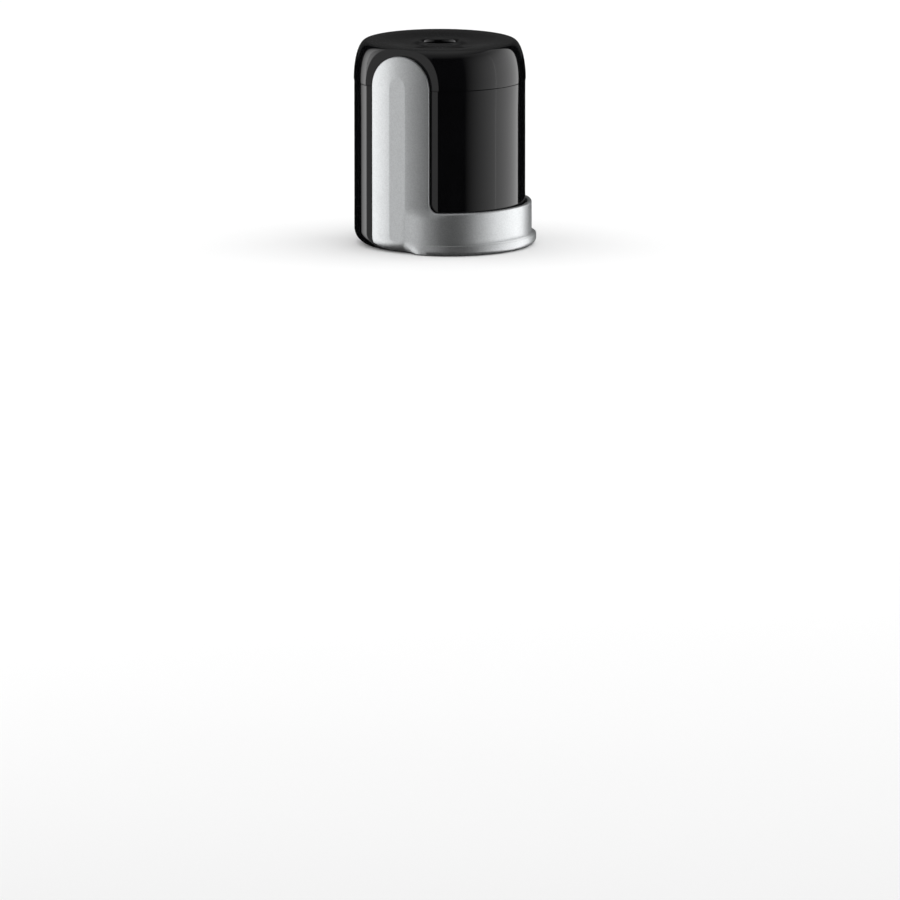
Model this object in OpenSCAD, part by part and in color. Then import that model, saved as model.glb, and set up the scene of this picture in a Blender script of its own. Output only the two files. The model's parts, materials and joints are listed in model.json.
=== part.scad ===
// Stopper for a sparkling-wine bottle, clamped by a U-shaped locking lever.
// The bottle's axis is Z, the base plane is z = 0, and the lever swings open towards -Y and up.
// At rest the lever is closed, the seal is pressed on the bottle's mouth and the claws grip its neck.

/* [Body] */
// Outer radius of the lower shell
shell_r = 36; // [34:0.5:44]
// Overall height, from the base plane to the rim of the cap
body_h = 86.15; // [84:0.05:104]
// Height of the cap, from the seam up
cap_h = 16.55; // [15:0.05:20]
// Wall of the shell and the cap
wall = 2.2; // [1.8:0.05:2.7]
// How deep each side flat is cut into the round body
flat_depth = 4.4; // [3.6:0.1:5.4]
// Radius of the shell's bottom corner
base_corner_r = 6.7; // [4:0.1:8]
// How far the cap's shoulder draws in
shoulder_in = 5.2; // [3:0.1:6.2]
// Step of the cap over the shell
cap_step = 0.2; // [0:0.05:0.5]
// Open line between the shell and the cap
seam_gap = 0.2; // [0.1:0.05:0.5]

/* [Lever] */
// Width of each arm, front to back
arm_w = 27.4; // [20:0.2:33]
// Gap between an arm and the side flat
arm_gap = 0.4; // [0.3:0.05:0.8]
// How deep the flat facet is cut into the outside of each arm
facet_cut = 0.2; // [0:0.05:0.6]
// Height of the half ring that joins the arms
ring_h = 18.2; // [12:0.2:24]
// How far the ring stands out in front of the shell
ring_reach = 3.62; // [3:0.02:6]
// Gap between the ring and the shell at the front
ring_gap = 1.2; // [0.6:0.1:1.6]
// Height of the thumb lip
lip_h = 4.8; // [2:0.1:6]
// How far the thumb lip stands out in front of the shell
lip_reach = 5.5; // [4:0.1:9]
// Radius of the window's bottom corners
window_r = 4; // [1:0.5:8]
// Swing of the lever, in degrees
lever_travel = 115; // [60:5:150]

/* [Charging port] */
// Inner radius of the port
port_r = 7.2; // [5:0.1:9]
// Depth of the port below its collar
port_depth = 6; // [4:0.1:8]
// Height of the collar above the sunken top
collar_h = 0.8; // [0.4:0.1:1]
// Depth of the sunken top below the rim
dish_depth = 1; // [0:0.1:1.5]
// Opening stroke of the valve
valve_travel = 2; // [1:0.1:3]

/* [Bottle] */
// Height of the bottle's mouth above the base plane
mouth_z = 34; // [30:0.5:35]
// Height of the claws' hooks, which sit under the ring of the neck
grip_z = 14; // [12:0.5:18]
// Radius of the neck where the claws grip it
neck_r = 15.4; // [12.5:0.1:16]
// Radius of the opening for the neck
entry_r = 18.5; // [17:0.1:19]
// Radius of the plug that enters the bottle's mouth
plug_r = 8.5; // [7:0.1:9]

/* [Mechanism] */
// Stroke of the plunger
plunger_travel = 4; // [3:0.1:5]
// Reach of the cams when the lever is closed
cam_r = 11; // [10:0.5:12]
// Thickness of the cams
cam_t = 4; // [3:0.5:5]
// Radius of the lever's stub shafts
shaft_r = 3; // [2:0.1:4]
// Radius of the plunger's stem
stem_r = 6; // [5.6:0.1:6.4]
// Radius of the gas tube
tube_r = 4; // [3:0.1:4.2]
// Radius of the claws' hinge pins
claw_pin_r = 2; // [1.5:0.1:2.4]
// Radius of the pins that drive the claws
drive_pin_r = 1.5; // [1.2:0.1:1.8]
// Swing of each claw, in degrees
claw_swing = 10; // [8:0.5:12]
// Half-width of a claw at its hook
claw_half_w = 8.5; // [8:0.1:10]
// Wire radius of the return spring
spring_wire_r = 0.7; // [0.5:0.05:0.8]

/* [Fits] */
// Radial running clearance of pins and shafts
run_fit = 0.05; // [0.02:0.01:0.1]
// Gap round a piece that is seated in another
seat_fit = 0.02; // [0.01:0.01:0.05]
// Gap between pieces that move past each other
slide_gap = 0.2; // [0.15:0.05:0.4]
// Gap that a moving piece keeps from its stop
stop_gap = 0.4; // [0.3:0.05:0.8]

/* [Hidden] */
$fn = 72;

over = 1;       // overrun of a cut past the face it opens
far = 200;      // half-space size
curve_steps = 24;

// Body levels and outline
pivot_z = body_h - cap_h;
flat_x = shell_r - flat_depth;
flat_half_w = sqrt(pow(shell_r, 2) - pow(flat_x, 2));
inner_x = flat_x - wall;
cap_r = shell_r + cap_step;
rim_r = cap_r - shoulder_in;
shoulder_z = pivot_z + 0.4;
roof_z = body_h - dish_depth - wall;
floor_t = wall;
floor_ledge = 2.8;
floor_r = shell_r - base_corner_r - floor_ledge;
plate_h = 2 * floor_t;
skirt_h = 2.5;
skirt_t = 1.4;
skirt_break = 4;

// Lever outline: circles that pass through the shell's sides and a point in front of it
function front_circle_r(reach) = (pow(reach, 2) + pow(shell_r, 2)) / (2 * reach);
ring_front = shell_r + ring_reach;
lip_front = shell_r + lip_reach;
ring_outer_r = front_circle_r(ring_front);
lip_outer_r = front_circle_r(lip_front);
arm_x = flat_x + arm_gap;
facet_x = shell_r - facet_cut;
cavity_front = shell_r + ring_gap;
cavity_shift = (pow(cavity_front, 2) - pow(arm_x, 2) - pow(flat_half_w, 2))
    / (2 * (cavity_front - flat_half_w));
cavity_r = cavity_front - cavity_shift;
ring_shift = ring_front - ring_outer_r;
lip_fade_y = arm_w / 2;
lip_mid_inset = base_corner_r - sqrt(pow(base_corner_r, 2) - pow(base_corner_r - lip_h / 2, 2));
lip_end_r = sqrt(pow(ring_outer_r - lip_mid_inset, 2) - pow(lip_fade_y - ring_shift, 2));
socket_depth = 2.4;

// Lever bearings and cams
bush_r = shaft_r + 1.95;
bush_flange_r = bush_r + 1.8;
bush_flange_t = 1.2;
bush_in_x = inner_x - bush_flange_t;
cam_out_x = bush_in_x - stop_gap;
cam_in_x = cam_out_x - cam_t;
shaft_in_x = cam_in_x - 1.4;
shaft_out_x = arm_x + socket_depth;
cam_screw_r = shaft_r * 0.4;
cam_screw_head_r = shaft_r - 0.2;
cam_screw_head_t = 1.4;
cam_screw_l = 8;
cam_hub_r = shaft_r + 2.6;
cam_step_deg = 5;
cam_rate = plunger_travel / (lever_travel * PI / 180);

// Plunger levels, closed
pad_z = pivot_z - cam_r - slide_gap;
pad_h = 2.2;
bar_top = pad_z - pad_h;
bar_t = 5;
bar_bottom = bar_top - bar_t;
bar_half_w = 7;
hub_r = 13;
stem_head_r = tube_r + 3;
seal_flange_h = 4;
seal_flange_r = 14;
stem_flange_r = 12.5;
stem_flange_h = 2.5;
spigot_r = 3.5;
gas_r = 1.5;
plug_l = 9;
retainer_h = 2.5;
retainer_r = 6.5;
flange_top = mouth_z + seal_flange_h + stem_flange_h;
tube_bore_r = tube_r + slide_gap;
tube_dip = 7;
tube_bottom = bar_top - tube_dip;
tube_bore_bottom = tube_bottom - plunger_travel - stop_gap;
ring_tube_r = 1;
ring_mean_r = tube_r + run_fit + ring_tube_r;
stem_groove_z = bar_top - 2.2;

// Chassis
deck_bottom = flange_top + plunger_travel + stop_gap;
deck_t = 3;
deck_top = deck_bottom + deck_t;
deck_r = shell_r - wall - stop_gap;
seat_sink = 1.2;
spring_bottom = deck_top - seat_sink;
spring_top = bar_top - 2;
spring_mean_r = 10.05;
spring_pocket = 0.6;
spring_pitch = 2.1;
column_inset = 9;
column_d = shell_r - column_inset;
column_at = column_d / sqrt(2);
column_r = 3.8;
column_top = pivot_z - 5.6;
column_bore_r = 3.1;
column_cap_t = 4;
boss_r = 3.5;
leg_r = 2.6;
guide_wall = 2;
guide_r = entry_r + guide_wall;
leg_d = (guide_r + floor_r) / 2 + 0.3;
leg_angle = 20;

// Claws, drawn for the back one
claw_pivot_y = 23;
claw_pivot_z = deck_bottom - 3.5;
drive_y = 21.5;
drive_z = deck_top + 5.9;
claw_neck_half_w = 4.3;
lug_in = claw_neck_half_w + stop_gap;
lug_t = 4.3;
lug_half_w = 4;
ear_in = claw_neck_half_w + slide_gap;
ear_t = 2.6;
ear_drop = 2.6;
ear_end = 3;
ear_bottom = drive_z - ear_drop;
claw_slot_half = 8;
claw_slot_shift = 1.5;
slot_wall = 2;
pin_wall = 2.2;
hook_h = 4;
claw_in_y = neck_r + 3.1;
claw_t = 4;
slot_r = drive_pin_r + slide_gap;

// Valve
collar_r = port_r + 4.8;
valve_r = port_r + 1.8;
dish_floor_r = collar_r + 1;
dish_floor_z = body_h - dish_depth;
collar_top = dish_floor_z + collar_h;
port_floor = collar_top - port_depth;
washer_r = port_r - 1.2;
washer_t = 1.5;
washer_floor = port_floor - washer_t;
valve_bottom = bar_top + plunger_travel + 2 * stop_gap;
tube_head_r = 5.4;
tube_head_h = 3.6;
seat_t = 1.2;
chamber_bottom = valve_bottom + tube_head_h;
chamber_r = 4.5;
chamber_roof = 2.9;
chamber_top = washer_floor - chamber_roof;
valve_neck_r = 7.2;
valve_neck_z = chamber_top + 0.5;
pin_r = 1.6;
pin_hole_r = 2.2;
poppet_r = 3.8;
poppet_h = 1.8;
poppet_seal_r = 0.75;
nut_r = valve_r + 3;
nut_h = 3;
nut_top = roof_z;
valve_coil_r = 2.9;
valve_wire_r = 0.3;
valve_coils = 5;

// Screws
screw_r = 1.4;
screw_head_r = 2.5;
screw_head_h = 1.6;
screw_sink = 0.3;
base_screw_l = 12;
cap_screw_l = 14;

// Where the drive pin stands in the back claw's own frame when it has risen by the share t of its stroke
function slot_point(t) = let (
        a = claw_swing * t,
        y = drive_y - claw_pivot_y,
        z = drive_z - claw_pivot_z + plunger_travel * t
    ) [claw_pivot_y + y * cos(a) + z * sin(a), claw_pivot_z - y * sin(a) + z * cos(a)];

// Point of the cam's outline whose tangent lies flat on the yoke when the lever has turned by a degrees
function cam_reach(a) = cam_r - cam_rate * a * PI / 180;
function cam_point(a) = [
    cam_reach(a) * sin(a) - cam_rate * cos(a),
    -cam_reach(a) * cos(a) - cam_rate * sin(a)
];

// A sheet in Y and Z, made into a slab from x0 to x1
module along_x(x0, x1) {
    translate([x0, 0, 0]) rotate([90, 0, 90]) linear_extrude(x1 - x0) children();
}

module rod_x(r, x0, x1) {
    translate([x0, 0, 0]) rotate([0, 90, 0]) cylinder(r = r, h = x1 - x0);
}

module pipe(outer_r, inner_r, z0, z1) {
    translate([0, 0, z0]) difference() {
        cylinder(r = outer_r, h = z1 - z0);
        translate([0, 0, -over]) cylinder(r = inner_r, h = z1 - z0 + 2 * over);
    }
}

module disc(r, z0, z1) {
    translate([0, 0, z0]) cylinder(r = r, h = z1 - z0);
}

module slab(half_x, z0 = -far, z1 = far) {
    translate([-half_x, -far, z0]) cube([2 * half_x, 2 * far, z1 - z0]);
}

module front_half(y = 0) {
    translate([-far, -2 * far + y, -far]) cube([2 * far, 2 * far, 2 * far]);
}

module o_ring(mean_r, tube, z) {
    translate([0, 0, z]) rotate_extrude() translate([mean_r, 0]) circle(r = tube);
}

// A round wire wound from z = 0 to z = length
module coil(mean_r, wire_r, length, turns, per_turn = 20, sides = 8) {
    last = round(turns * per_turn);
    rise = length - 2 * wire_r;
    points = [
        for (i = [0:last]) let (a = 360 * turns * i / last, z = wire_r + rise * i / last)
            for (j = [0:sides - 1]) let (b = 360 * j / sides, r = mean_r + wire_r * cos(b))
                [r * cos(a), r * sin(a), z + wire_r * sin(b)]
    ];
    skin = [
        for (i = [0:last - 1], j = [0:sides - 1]) let (k = (j + 1) % sides)
            [i * sides + j, i * sides + k, (i + 1) * sides + k, (i + 1) * sides + j]
    ];
    start = [for (j = [sides - 1:-1:0]) j];
    end = [for (j = [0:sides - 1]) last * sides + j];
    polyhedron(points, concat([start], skin, [end]));
}

// Quarter of an ellipse from the side to the top
function shoulder(r, z, in, up) = [
    for (i = [0:curve_steps]) let (a = 90 * i / curve_steps)
        [r - in + in * cos(a), z + up * sin(a)]
];
function corner(r, radius, z) = [
    for (i = [0:curve_steps]) let (a = -90 + 90 * i / curve_steps)
        [r - radius + radius * cos(a), z + radius + radius * sin(a)]
];

// The round body without its flats, as the shell's outside carried on into the shoulder
module round_body(r) {
    rotate_extrude() polygon(concat(
        [[0, 0]], corner(r, base_corner_r, 0),
        shoulder(r, shoulder_z, r - rim_r, body_h - shoulder_z), [[0, body_h]]
    ));
}

module bush_hole() {
    translate([0, 0, pivot_z]) rod_x(bush_r + seat_fit, -far, far);
}

module lower_shell() {
    color("#111214") difference() {
        intersection() {
            rotate_extrude() polygon(concat(
                [[0, 0]], corner(shell_r, base_corner_r, 0),
                [[shell_r, pivot_z - seam_gap / 2], [0, pivot_z - seam_gap / 2]]
            ));
            slab(flat_x);
        }
        intersection() {
            rotate_extrude() polygon(concat(
                [[0, floor_t]], corner(shell_r - wall, base_corner_r - wall, floor_t),
                [[shell_r - wall, pivot_z + over], [0, pivot_z + over]]
            ));
            slab(inner_x);
        }
        disc(floor_r, -over, floor_t + over);
        bush_hole();
    }
}

module cap_bosses() {
    for (x = [-1, 1], y = [-1, 1]) translate([x * column_at, y * column_at, 0]) difference() {
        disc(boss_r, column_top + seam_gap, roof_z + wall / 2);
        disc(screw_r + seat_fit, column_top, column_top + cap_screw_l - column_cap_t + over);
    }
}

// Short wall under the cap that locates it in the shell, left out where the bearings are
module cap_skirt() {
    skirt_r = shell_r - wall - slide_gap;
    difference() {
        union() {
            intersection() {
                pipe(skirt_r, skirt_r - skirt_t, pivot_z - skirt_h, pivot_z + over);
                slab(inner_x - slide_gap);
            }
            intersection() {
                pipe(cap_r - wall / 2, skirt_r - skirt_t, pivot_z + seam_gap / 2, pivot_z + skirt_h);
                slab(inner_x + wall / 2);
            }
        }
        translate([-far, -cam_r - skirt_break, 0]) cube([2 * far, 2 * (cam_r + skirt_break), far]);
    }
}

module top_cap() {
    color("#121315") union() {
        difference() {
            intersection() {
                rotate_extrude() polygon(concat(
                    [[0, pivot_z + seam_gap / 2], [cap_r, pivot_z + seam_gap / 2]],
                    shoulder(cap_r, shoulder_z, shoulder_in, body_h - shoulder_z),
                    [[rim_r - 3, body_h], [dish_floor_r, dish_floor_z], [0, dish_floor_z]]
                ));
                slab(flat_x);
            }
            intersection() {
                rotate_extrude() polygon(concat(
                    [[0, pivot_z - over], [cap_r - wall, pivot_z - over]],
                    shoulder(cap_r - wall, shoulder_z, shoulder_in, roof_z - shoulder_z),
                    [[0, roof_z]]
                ));
                slab(inner_x);
            }
            disc(valve_r + seat_fit, roof_z - over, body_h + over);
            bush_hole();
        }
        cap_bosses();
        cap_skirt();
    }
}

module leg_places() {
    for (a = [leg_angle, 180 - leg_angle, 180 + leg_angle, -leg_angle])
        rotate([0, 0, a]) translate([leg_d, 0, 0]) children();
}

module column_places() {
    for (x = [-1, 1], y = [-1, 1]) translate([x * column_at, y * column_at, 0]) children();
}

module base_plate() {
    color("#1b1c1e") difference() {
        union() {
            disc(floor_r - slide_gap, 0, floor_t + over / 2);
            intersection() {
                disc(shell_r - base_corner_r - slide_gap, floor_t + seat_fit, plate_h);
                slab(inner_x - slide_gap);
            }
        }
        disc(guide_r + seat_fit, -over, plate_h + over);
        leg_places() {
            disc(screw_r + slide_gap, -over, plate_h + over);
            disc(screw_head_r + slide_gap, -over, screw_sink + screw_head_h);
        }
    }
}

module neck_guide() {
    color("#2a2a2b") union() {
        pipe(guide_r, entry_r, 0, plate_h + 1.2);
        pipe(guide_r + 0.4, entry_r, plate_h + seat_fit, plate_h + 1.2);
    }
}

module claw_lugs() {
    for (side = [-1, 1], end = [-1, 1])
        translate([side > 0 ? lug_in : -lug_in - lug_t, end * claw_pivot_y - lug_half_w,
            claw_pivot_z - lug_half_w])
            cube([lug_t, 2 * lug_half_w, deck_bottom - claw_pivot_z + lug_half_w + over]);
}

module chassis() {
    color("#3a3d40") difference() {
        union() {
            intersection() {
                disc(deck_r, deck_bottom, deck_top);
                slab(inner_x - stop_gap);
            }
            claw_lugs();
            column_places() disc(column_r, plate_h, column_top);
            leg_places() disc(leg_r, plate_h, deck_bottom + over);
        }
        disc(stem_r + slide_gap, 0, far);
        pipe(spring_mean_r + spring_wire_r + spring_pocket,
            spring_mean_r - spring_wire_r - spring_pocket, spring_bottom, deck_top + over);
        for (end = [-1, 1]) {
            translate([-lug_in, end * (claw_pivot_y + claw_slot_shift) - claw_slot_half, deck_bottom - over])
                cube([2 * lug_in, 2 * claw_slot_half, deck_t + 2 * over]);
            translate([0, end * claw_pivot_y, claw_pivot_z]) rod_x(claw_pin_r + seat_fit, -far, far);
        }
        column_places() {
            disc(column_bore_r, plate_h - over, column_top - column_cap_t);
            disc(screw_r + slide_gap, plate_h, column_top + over);
        }
        leg_places() disc(screw_r + seat_fit, plate_h - over, plate_h + base_screw_l);
    }
}

module bush(side) {
    color("#c9a24a") translate([0, 0, pivot_z]) mirror([side < 0 ? 1 : 0, 0, 0]) difference() {
        union() {
            rod_x(bush_r, inner_x - bush_flange_t / 2, flat_x);
            rod_x(bush_flange_r, bush_in_x, inner_x - seat_fit);
        }
        rod_x(shaft_r + run_fit, bush_in_x - over, flat_x + over);
    }
}
module bush_left() bush(-1);
module bush_right() bush(1);

module claw_pin(end) {
    color("#b9bcc0") translate([0, end * claw_pivot_y, claw_pivot_z])
        rod_x(claw_pin_r, -lug_in - lug_t, lug_in + lug_t);
}
module claw_pin_front() claw_pin(-1);
module claw_pin_back() claw_pin(1);

module valve_body() {
    edge = 0.3;
    color("#17181a") rotate_extrude() polygon([
        [port_r, collar_top], [port_r, port_floor], [washer_r, port_floor],
        [washer_r, washer_floor], [pin_hole_r, washer_floor], [pin_hole_r, chamber_top],
        [chamber_r, chamber_top], [chamber_r, chamber_bottom], [tube_head_r, chamber_bottom],
        [tube_head_r, valve_bottom], [valve_neck_r, valve_bottom], [valve_neck_r, valve_neck_z],
        [valve_r, valve_neck_z + valve_r - valve_neck_r], [valve_r, dish_floor_z],
        [collar_r, dish_floor_z], [collar_r, collar_top - edge], [collar_r - edge, collar_top]
    ]);
}

module valve_nut() {
    color("#8d9094") difference() {
        pipe(nut_r, valve_r + seat_fit, nut_top - nut_h, nut_top - seat_fit);
        for (a = [0:90:270]) rotate([0, 0, a]) translate([nut_r, 0, nut_top - nut_h / 2])
            cube([2, 3, nut_h + over], center = true);
    }
}

module port_washer() {
    color("#4a4b4d") pipe(washer_r - seat_fit, pin_hole_r + 0.4, washer_floor + seat_fit,
        port_floor - seat_fit);
}

module gas_tube() {
    color("#c4c7ca") difference() {
        union() {
            disc(tube_r, tube_bottom, valve_bottom + over);
            disc(tube_head_r - seat_fit, valve_bottom, chamber_bottom - seat_t);
        }
        disc(gas_r, tube_bottom - over, chamber_bottom);
    }
}

module spring_seat() {
    color("#9b9ea2") difference() {
        disc(tube_head_r - seat_fit, chamber_bottom - seat_t + seat_fit, chamber_bottom - seat_fit);
        for (a = [0:60:300]) rotate([0, 0, a]) translate([2, 0, 0])
            disc(0.6, chamber_bottom - seat_t, chamber_bottom + over);
    }
}

module valve_spring() {
    length = chamber_top - 2 * poppet_seal_r - poppet_h - chamber_bottom - 2 * seat_fit;
    color("#b5b8bc") translate([0, 0, chamber_bottom + seat_fit])
        coil(valve_coil_r, valve_wire_r, length, valve_coils, 18, 6);
}

module return_spring() {
    length = spring_top - spring_bottom - 2 * seat_fit;
    color("#b5b8bc") translate([0, 0, spring_bottom + seat_fit])
        coil(spring_mean_r, spring_wire_r, length, max(2.5, floor(length / spring_pitch)));
}

// A pan-head screw with a cross recess, head down, its head's face at z = 0
module screw(length) {
    recess = screw_head_h / 2;
    difference() {
        union() {
            cylinder(r = screw_head_r, h = screw_head_h);
            cylinder(r = screw_r, h = length);
        }
        for (a = [0, 90]) rotate([0, 0, a]) translate([-screw_head_r * 0.6, -0.35, -over])
            cube([screw_head_r * 1.2, 0.7, recess + over]);
    }
}

module base_screws() {
    color("#8a8d91") leg_places() translate([0, 0, screw_sink]) screw(base_screw_l);
}

module cap_screws() {
    color("#8a8d91") column_places()
        translate([0, 0, column_top - column_cap_t - screw_head_h - seat_fit]) screw(cap_screw_l);
}

// Side view of the lever in Y and Z: an arm, and the ring in front of it with a rounded corner
module lever_sheet() {
    translate([0, pivot_z]) circle(r = arm_w / 2);
    translate([-arm_w / 2, 0]) square([arm_w, pivot_z]);
    translate([-lip_front - over, 0]) square([lip_front + over, ring_h]);
    translate([-arm_w / 2 - window_r, ring_h - over]) difference() {
        square([window_r, window_r + over]);
        translate([0, window_r + over]) circle(r = window_r);
    }
}

module lever_form() {
    intersection() {
        union() {
            round_body(shell_r);
            intersection() {
                front_half();
                translate([0, -ring_shift, 0]) rotate_extrude() polygon(concat(
                    [[0, 0]], corner(ring_outer_r, base_corner_r, 0),
                    [[ring_outer_r, ring_h + window_r], [0, ring_h + window_r]]
                ));
            }
            intersection() {
                front_half(-lip_fade_y);
                translate([0, lip_outer_r - lip_front, 0]) disc(lip_outer_r, 0, lip_h);
                translate([0, -lip_fade_y, 0]) disc(lip_end_r, -over, lip_h + over);
            }
        }
        slab(facet_x);
    }
}

module lever() {
    color("#c6c9cc") difference() {
        intersection() {
            lever_form();
            along_x(-far, far) lever_sheet();
        }
        intersection() {
            translate([0, -cavity_shift, -over]) cylinder(r = cavity_r, h = body_h + 2 * over);
            slab(arm_x);
        }
        translate([0, 0, pivot_z]) rod_x(shaft_r + seat_fit, -shaft_out_x - seat_fit, shaft_out_x + seat_fit);
    }
}

module shaft(side) {
    color("#a9acb0") translate([0, 0, pivot_z]) mirror([side < 0 ? 1 : 0, 0, 0]) difference() {
        rod_x(shaft_r, shaft_in_x, shaft_out_x);
        rod_x(cam_screw_r + seat_fit, shaft_in_x - over, shaft_in_x + cam_screw_l);
    }
}
module shaft_left() shaft(-1);
module shaft_right() shaft(1);

module cam(side) {
    color("#9a9da1") translate([0, 0, pivot_z]) mirror([side < 0 ? 1 : 0, 0, 0]) difference() {
        along_x(cam_in_x, cam_out_x) {
            circle(r = cam_hub_r);
            polygon(concat(
                [[0, 0]],
                [for (a = [-2 * cam_step_deg:cam_step_deg:lever_travel + cam_step_deg]) cam_point(a)]
            ));
        }
        rod_x(shaft_r + seat_fit, cam_in_x - over, cam_out_x + over);
    }
}
module cam_left() cam(-1);
module cam_right() cam(1);

module cam_screws() {
    head_x = shaft_in_x - cam_screw_head_t - seat_fit;
    color("#6f7276") translate([0, 0, pivot_z]) for (side = [0, 1]) mirror([side, 0, 0]) {
        rod_x(cam_screw_head_r, head_x, shaft_in_x - seat_fit);
        rod_x(cam_screw_r, head_x + cam_screw_head_t / 2, shaft_in_x + cam_screw_l - stop_gap);
    }
}

module yoke_ears() {
    for (side = [-1, 1], end = [-1, 1])
        translate([side > 0 ? ear_in : -ear_in - ear_t, end > 0 ? hub_r / 2 : -drive_y - ear_end,
            ear_bottom])
            cube([ear_t, drive_y + ear_end - hub_r / 2, bar_top - ear_bottom]);
}

module yoke() {
    color("#7f8388") difference() {
        union() {
            translate([-cam_out_x, -bar_half_w, bar_bottom]) cube([2 * cam_out_x, 2 * bar_half_w, bar_t]);
            disc(hub_r, bar_bottom, bar_top);
            yoke_ears();
            for (side = [-1, 1]) translate([side > 0 ? cam_in_x : -cam_out_x, -bar_half_w, bar_bottom])
                cube([cam_t, 2 * bar_half_w, pad_z - bar_bottom]);
        }
        disc(stem_head_r + seat_fit, bar_bottom - 2 * over, bar_top + over);
        pipe(spring_mean_r + spring_wire_r + spring_pocket,
            spring_mean_r - spring_wire_r - spring_pocket, min(bar_bottom, ear_bottom) - 2 * over, spring_top);
        for (end = [-1, 1]) translate([0, end * drive_y, drive_z]) rod_x(drive_pin_r + seat_fit, -far, far);
    }
}

module plunger_stem() {
    groove = ring_tube_r + seat_fit;
    color("#c2a04c") rotate_extrude() polygon([
        [tube_bore_r, bar_top], [tube_bore_r, stem_groove_z + groove],
        [ring_mean_r + groove, stem_groove_z + groove], [ring_mean_r + groove, stem_groove_z - groove],
        [tube_bore_r, stem_groove_z - groove], [tube_bore_r, tube_bore_bottom],
        [gas_r, tube_bore_bottom], [gas_r, mouth_z - plug_l - retainer_h + stop_gap],
        [spigot_r, mouth_z - plug_l - retainer_h + stop_gap],
        [spigot_r, mouth_z + seal_flange_h], [stem_flange_r, mouth_z + seal_flange_h],
        [stem_flange_r, flange_top], [stem_r, flange_top], [stem_r, bar_bottom],
        [stem_head_r, bar_bottom], [stem_head_r, bar_top]
    ]);
}

module mouth_seal() {
    plug_end = mouth_z - plug_l;
    bead = 0.5;
    color("#5a5c5e") difference() {
        union() {
            disc(seal_flange_r, mouth_z, mouth_z + seal_flange_h - seat_fit);
            translate([0, 0, plug_end + seat_fit]) cylinder(r1 = plug_r - 1, r2 = plug_r, h = plug_l);
            for (z = [plug_l / 3, 2 * plug_l / 3])
                o_ring(plug_r - bead, bead, plug_end + z);
        }
        disc(spigot_r + seat_fit, plug_end - over, mouth_z + seal_flange_h + over);
    }
}

module seal_retainer() {
    color("#b9bcc0") difference() {
        translate([0, 0, mouth_z - plug_l - retainer_h]) cylinder(r = retainer_r, h = retainer_h, $fn = 6);
        disc(spigot_r + seat_fit, 0, mouth_z);
    }
}

module stem_o_ring() {
    color("#2b2b2c") o_ring(ring_mean_r, ring_tube_r, stem_groove_z);
}

module drive_pins() {
    color("#b9bcc0") for (end = [-1, 1]) translate([0, end * drive_y, drive_z])
        rod_x(drive_pin_r, -ear_in - ear_t, ear_in + ear_t);
}

// Slot of the drive pin, straight between three of its places
module drive_slot() {
    for (t = [0, 0.5, 1]) translate(slot_point(t)) circle(r = slot_r);
    for (t = [0, 0.5]) let (from = slot_point(t), run = slot_point(t + 0.5) - from)
        translate(from) rotate(atan2(run[1], run[0])) translate([0, -slot_r])
            square([norm(run), 2 * slot_r]);
}

module claw_head_sheet() {
    rim = slot_r + slot_wall;
    difference() {
        union() {
            for (t = [0, 0.5, 1]) translate(slot_point(t)) circle(r = rim);
            for (t = [0, 0.5]) let (from = slot_point(t), run = slot_point(t + 0.5) - from)
                translate(from) rotate(atan2(run[1], run[0])) translate([0, -rim])
                    square([norm(run), 2 * rim]);
            translate([claw_pivot_y, claw_pivot_z]) circle(r = claw_pin_r + pin_wall);
            translate([drive_y - rim, claw_pivot_z]) square([2 * rim, drive_z - claw_pivot_z]);
            translate([claw_in_y, grip_z]) square([claw_t, claw_pivot_z - grip_z]);
        }
        drive_slot();
    }
}

// The back claw: a narrow head with the slot, a hinge bore, and a wide curved jaw with a hook
module claw_shape() {
    jaw_top = claw_pivot_z - 8;
    difference() {
        union() {
            along_x(-claw_neck_half_w, claw_neck_half_w) claw_head_sheet();
            intersection() {
                pipe(claw_in_y + claw_t, claw_in_y, grip_z - hook_h, jaw_top);
                translate([-claw_half_w, 0, 0]) cube([2 * claw_half_w, far, far]);
            }
            intersection() {
                pipe(claw_in_y + claw_t, neck_r, grip_z - hook_h, grip_z);
                translate([-claw_half_w, 0, 0]) cube([2 * claw_half_w, far, far]);
            }
        }
        translate([0, claw_pivot_y, claw_pivot_z]) rod_x(claw_pin_r + run_fit, -far, far);
    }
}

module claw_front() {
    color("#aeb1b5") mirror([0, 1, 0]) claw_shape();
}
module claw_back() {
    color("#aeb1b5") claw_shape();
}

module valve_poppet() {
    head_top = chamber_top - 2 * poppet_seal_r - seat_fit;
    color("#c9a24a") union() {
        disc(poppet_r, head_top - poppet_h, head_top);
        disc(pin_r, head_top - poppet_h, port_floor - slide_gap);
    }
}

module poppet_seal() {
    color("#2b2b2c") o_ring(2.9, poppet_seal_r - seat_fit, chamber_top - poppet_seal_r);
}

lower_shell();
top_cap();
base_plate();
neck_guide();
chassis();
bush_left();
bush_right();
claw_pin_front();
claw_pin_back();
valve_body();
valve_nut();
port_washer();
gas_tube();
spring_seat();
valve_spring();
return_spring();
base_screws();
cap_screws();
lever();
shaft_left();
shaft_right();
cam_left();
cam_right();
cam_screws();
yoke();
plunger_stem();
mouth_seal();
seal_retainer();
stem_o_ring();
drive_pins();
claw_front();
claw_back();
valve_poppet();
poppet_seal();
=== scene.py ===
"""Builds the looks of a sparkling-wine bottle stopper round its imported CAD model.

Lengths inside the mesh functions are in millimetres, and put_mesh turns them into metres.
"""

import json
import math

import bpy
from bpy.props import FloatProperty, FloatVectorProperty, PointerProperty
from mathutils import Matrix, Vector
from mathutils.geometry import delaunay_2d_cdt


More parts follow.
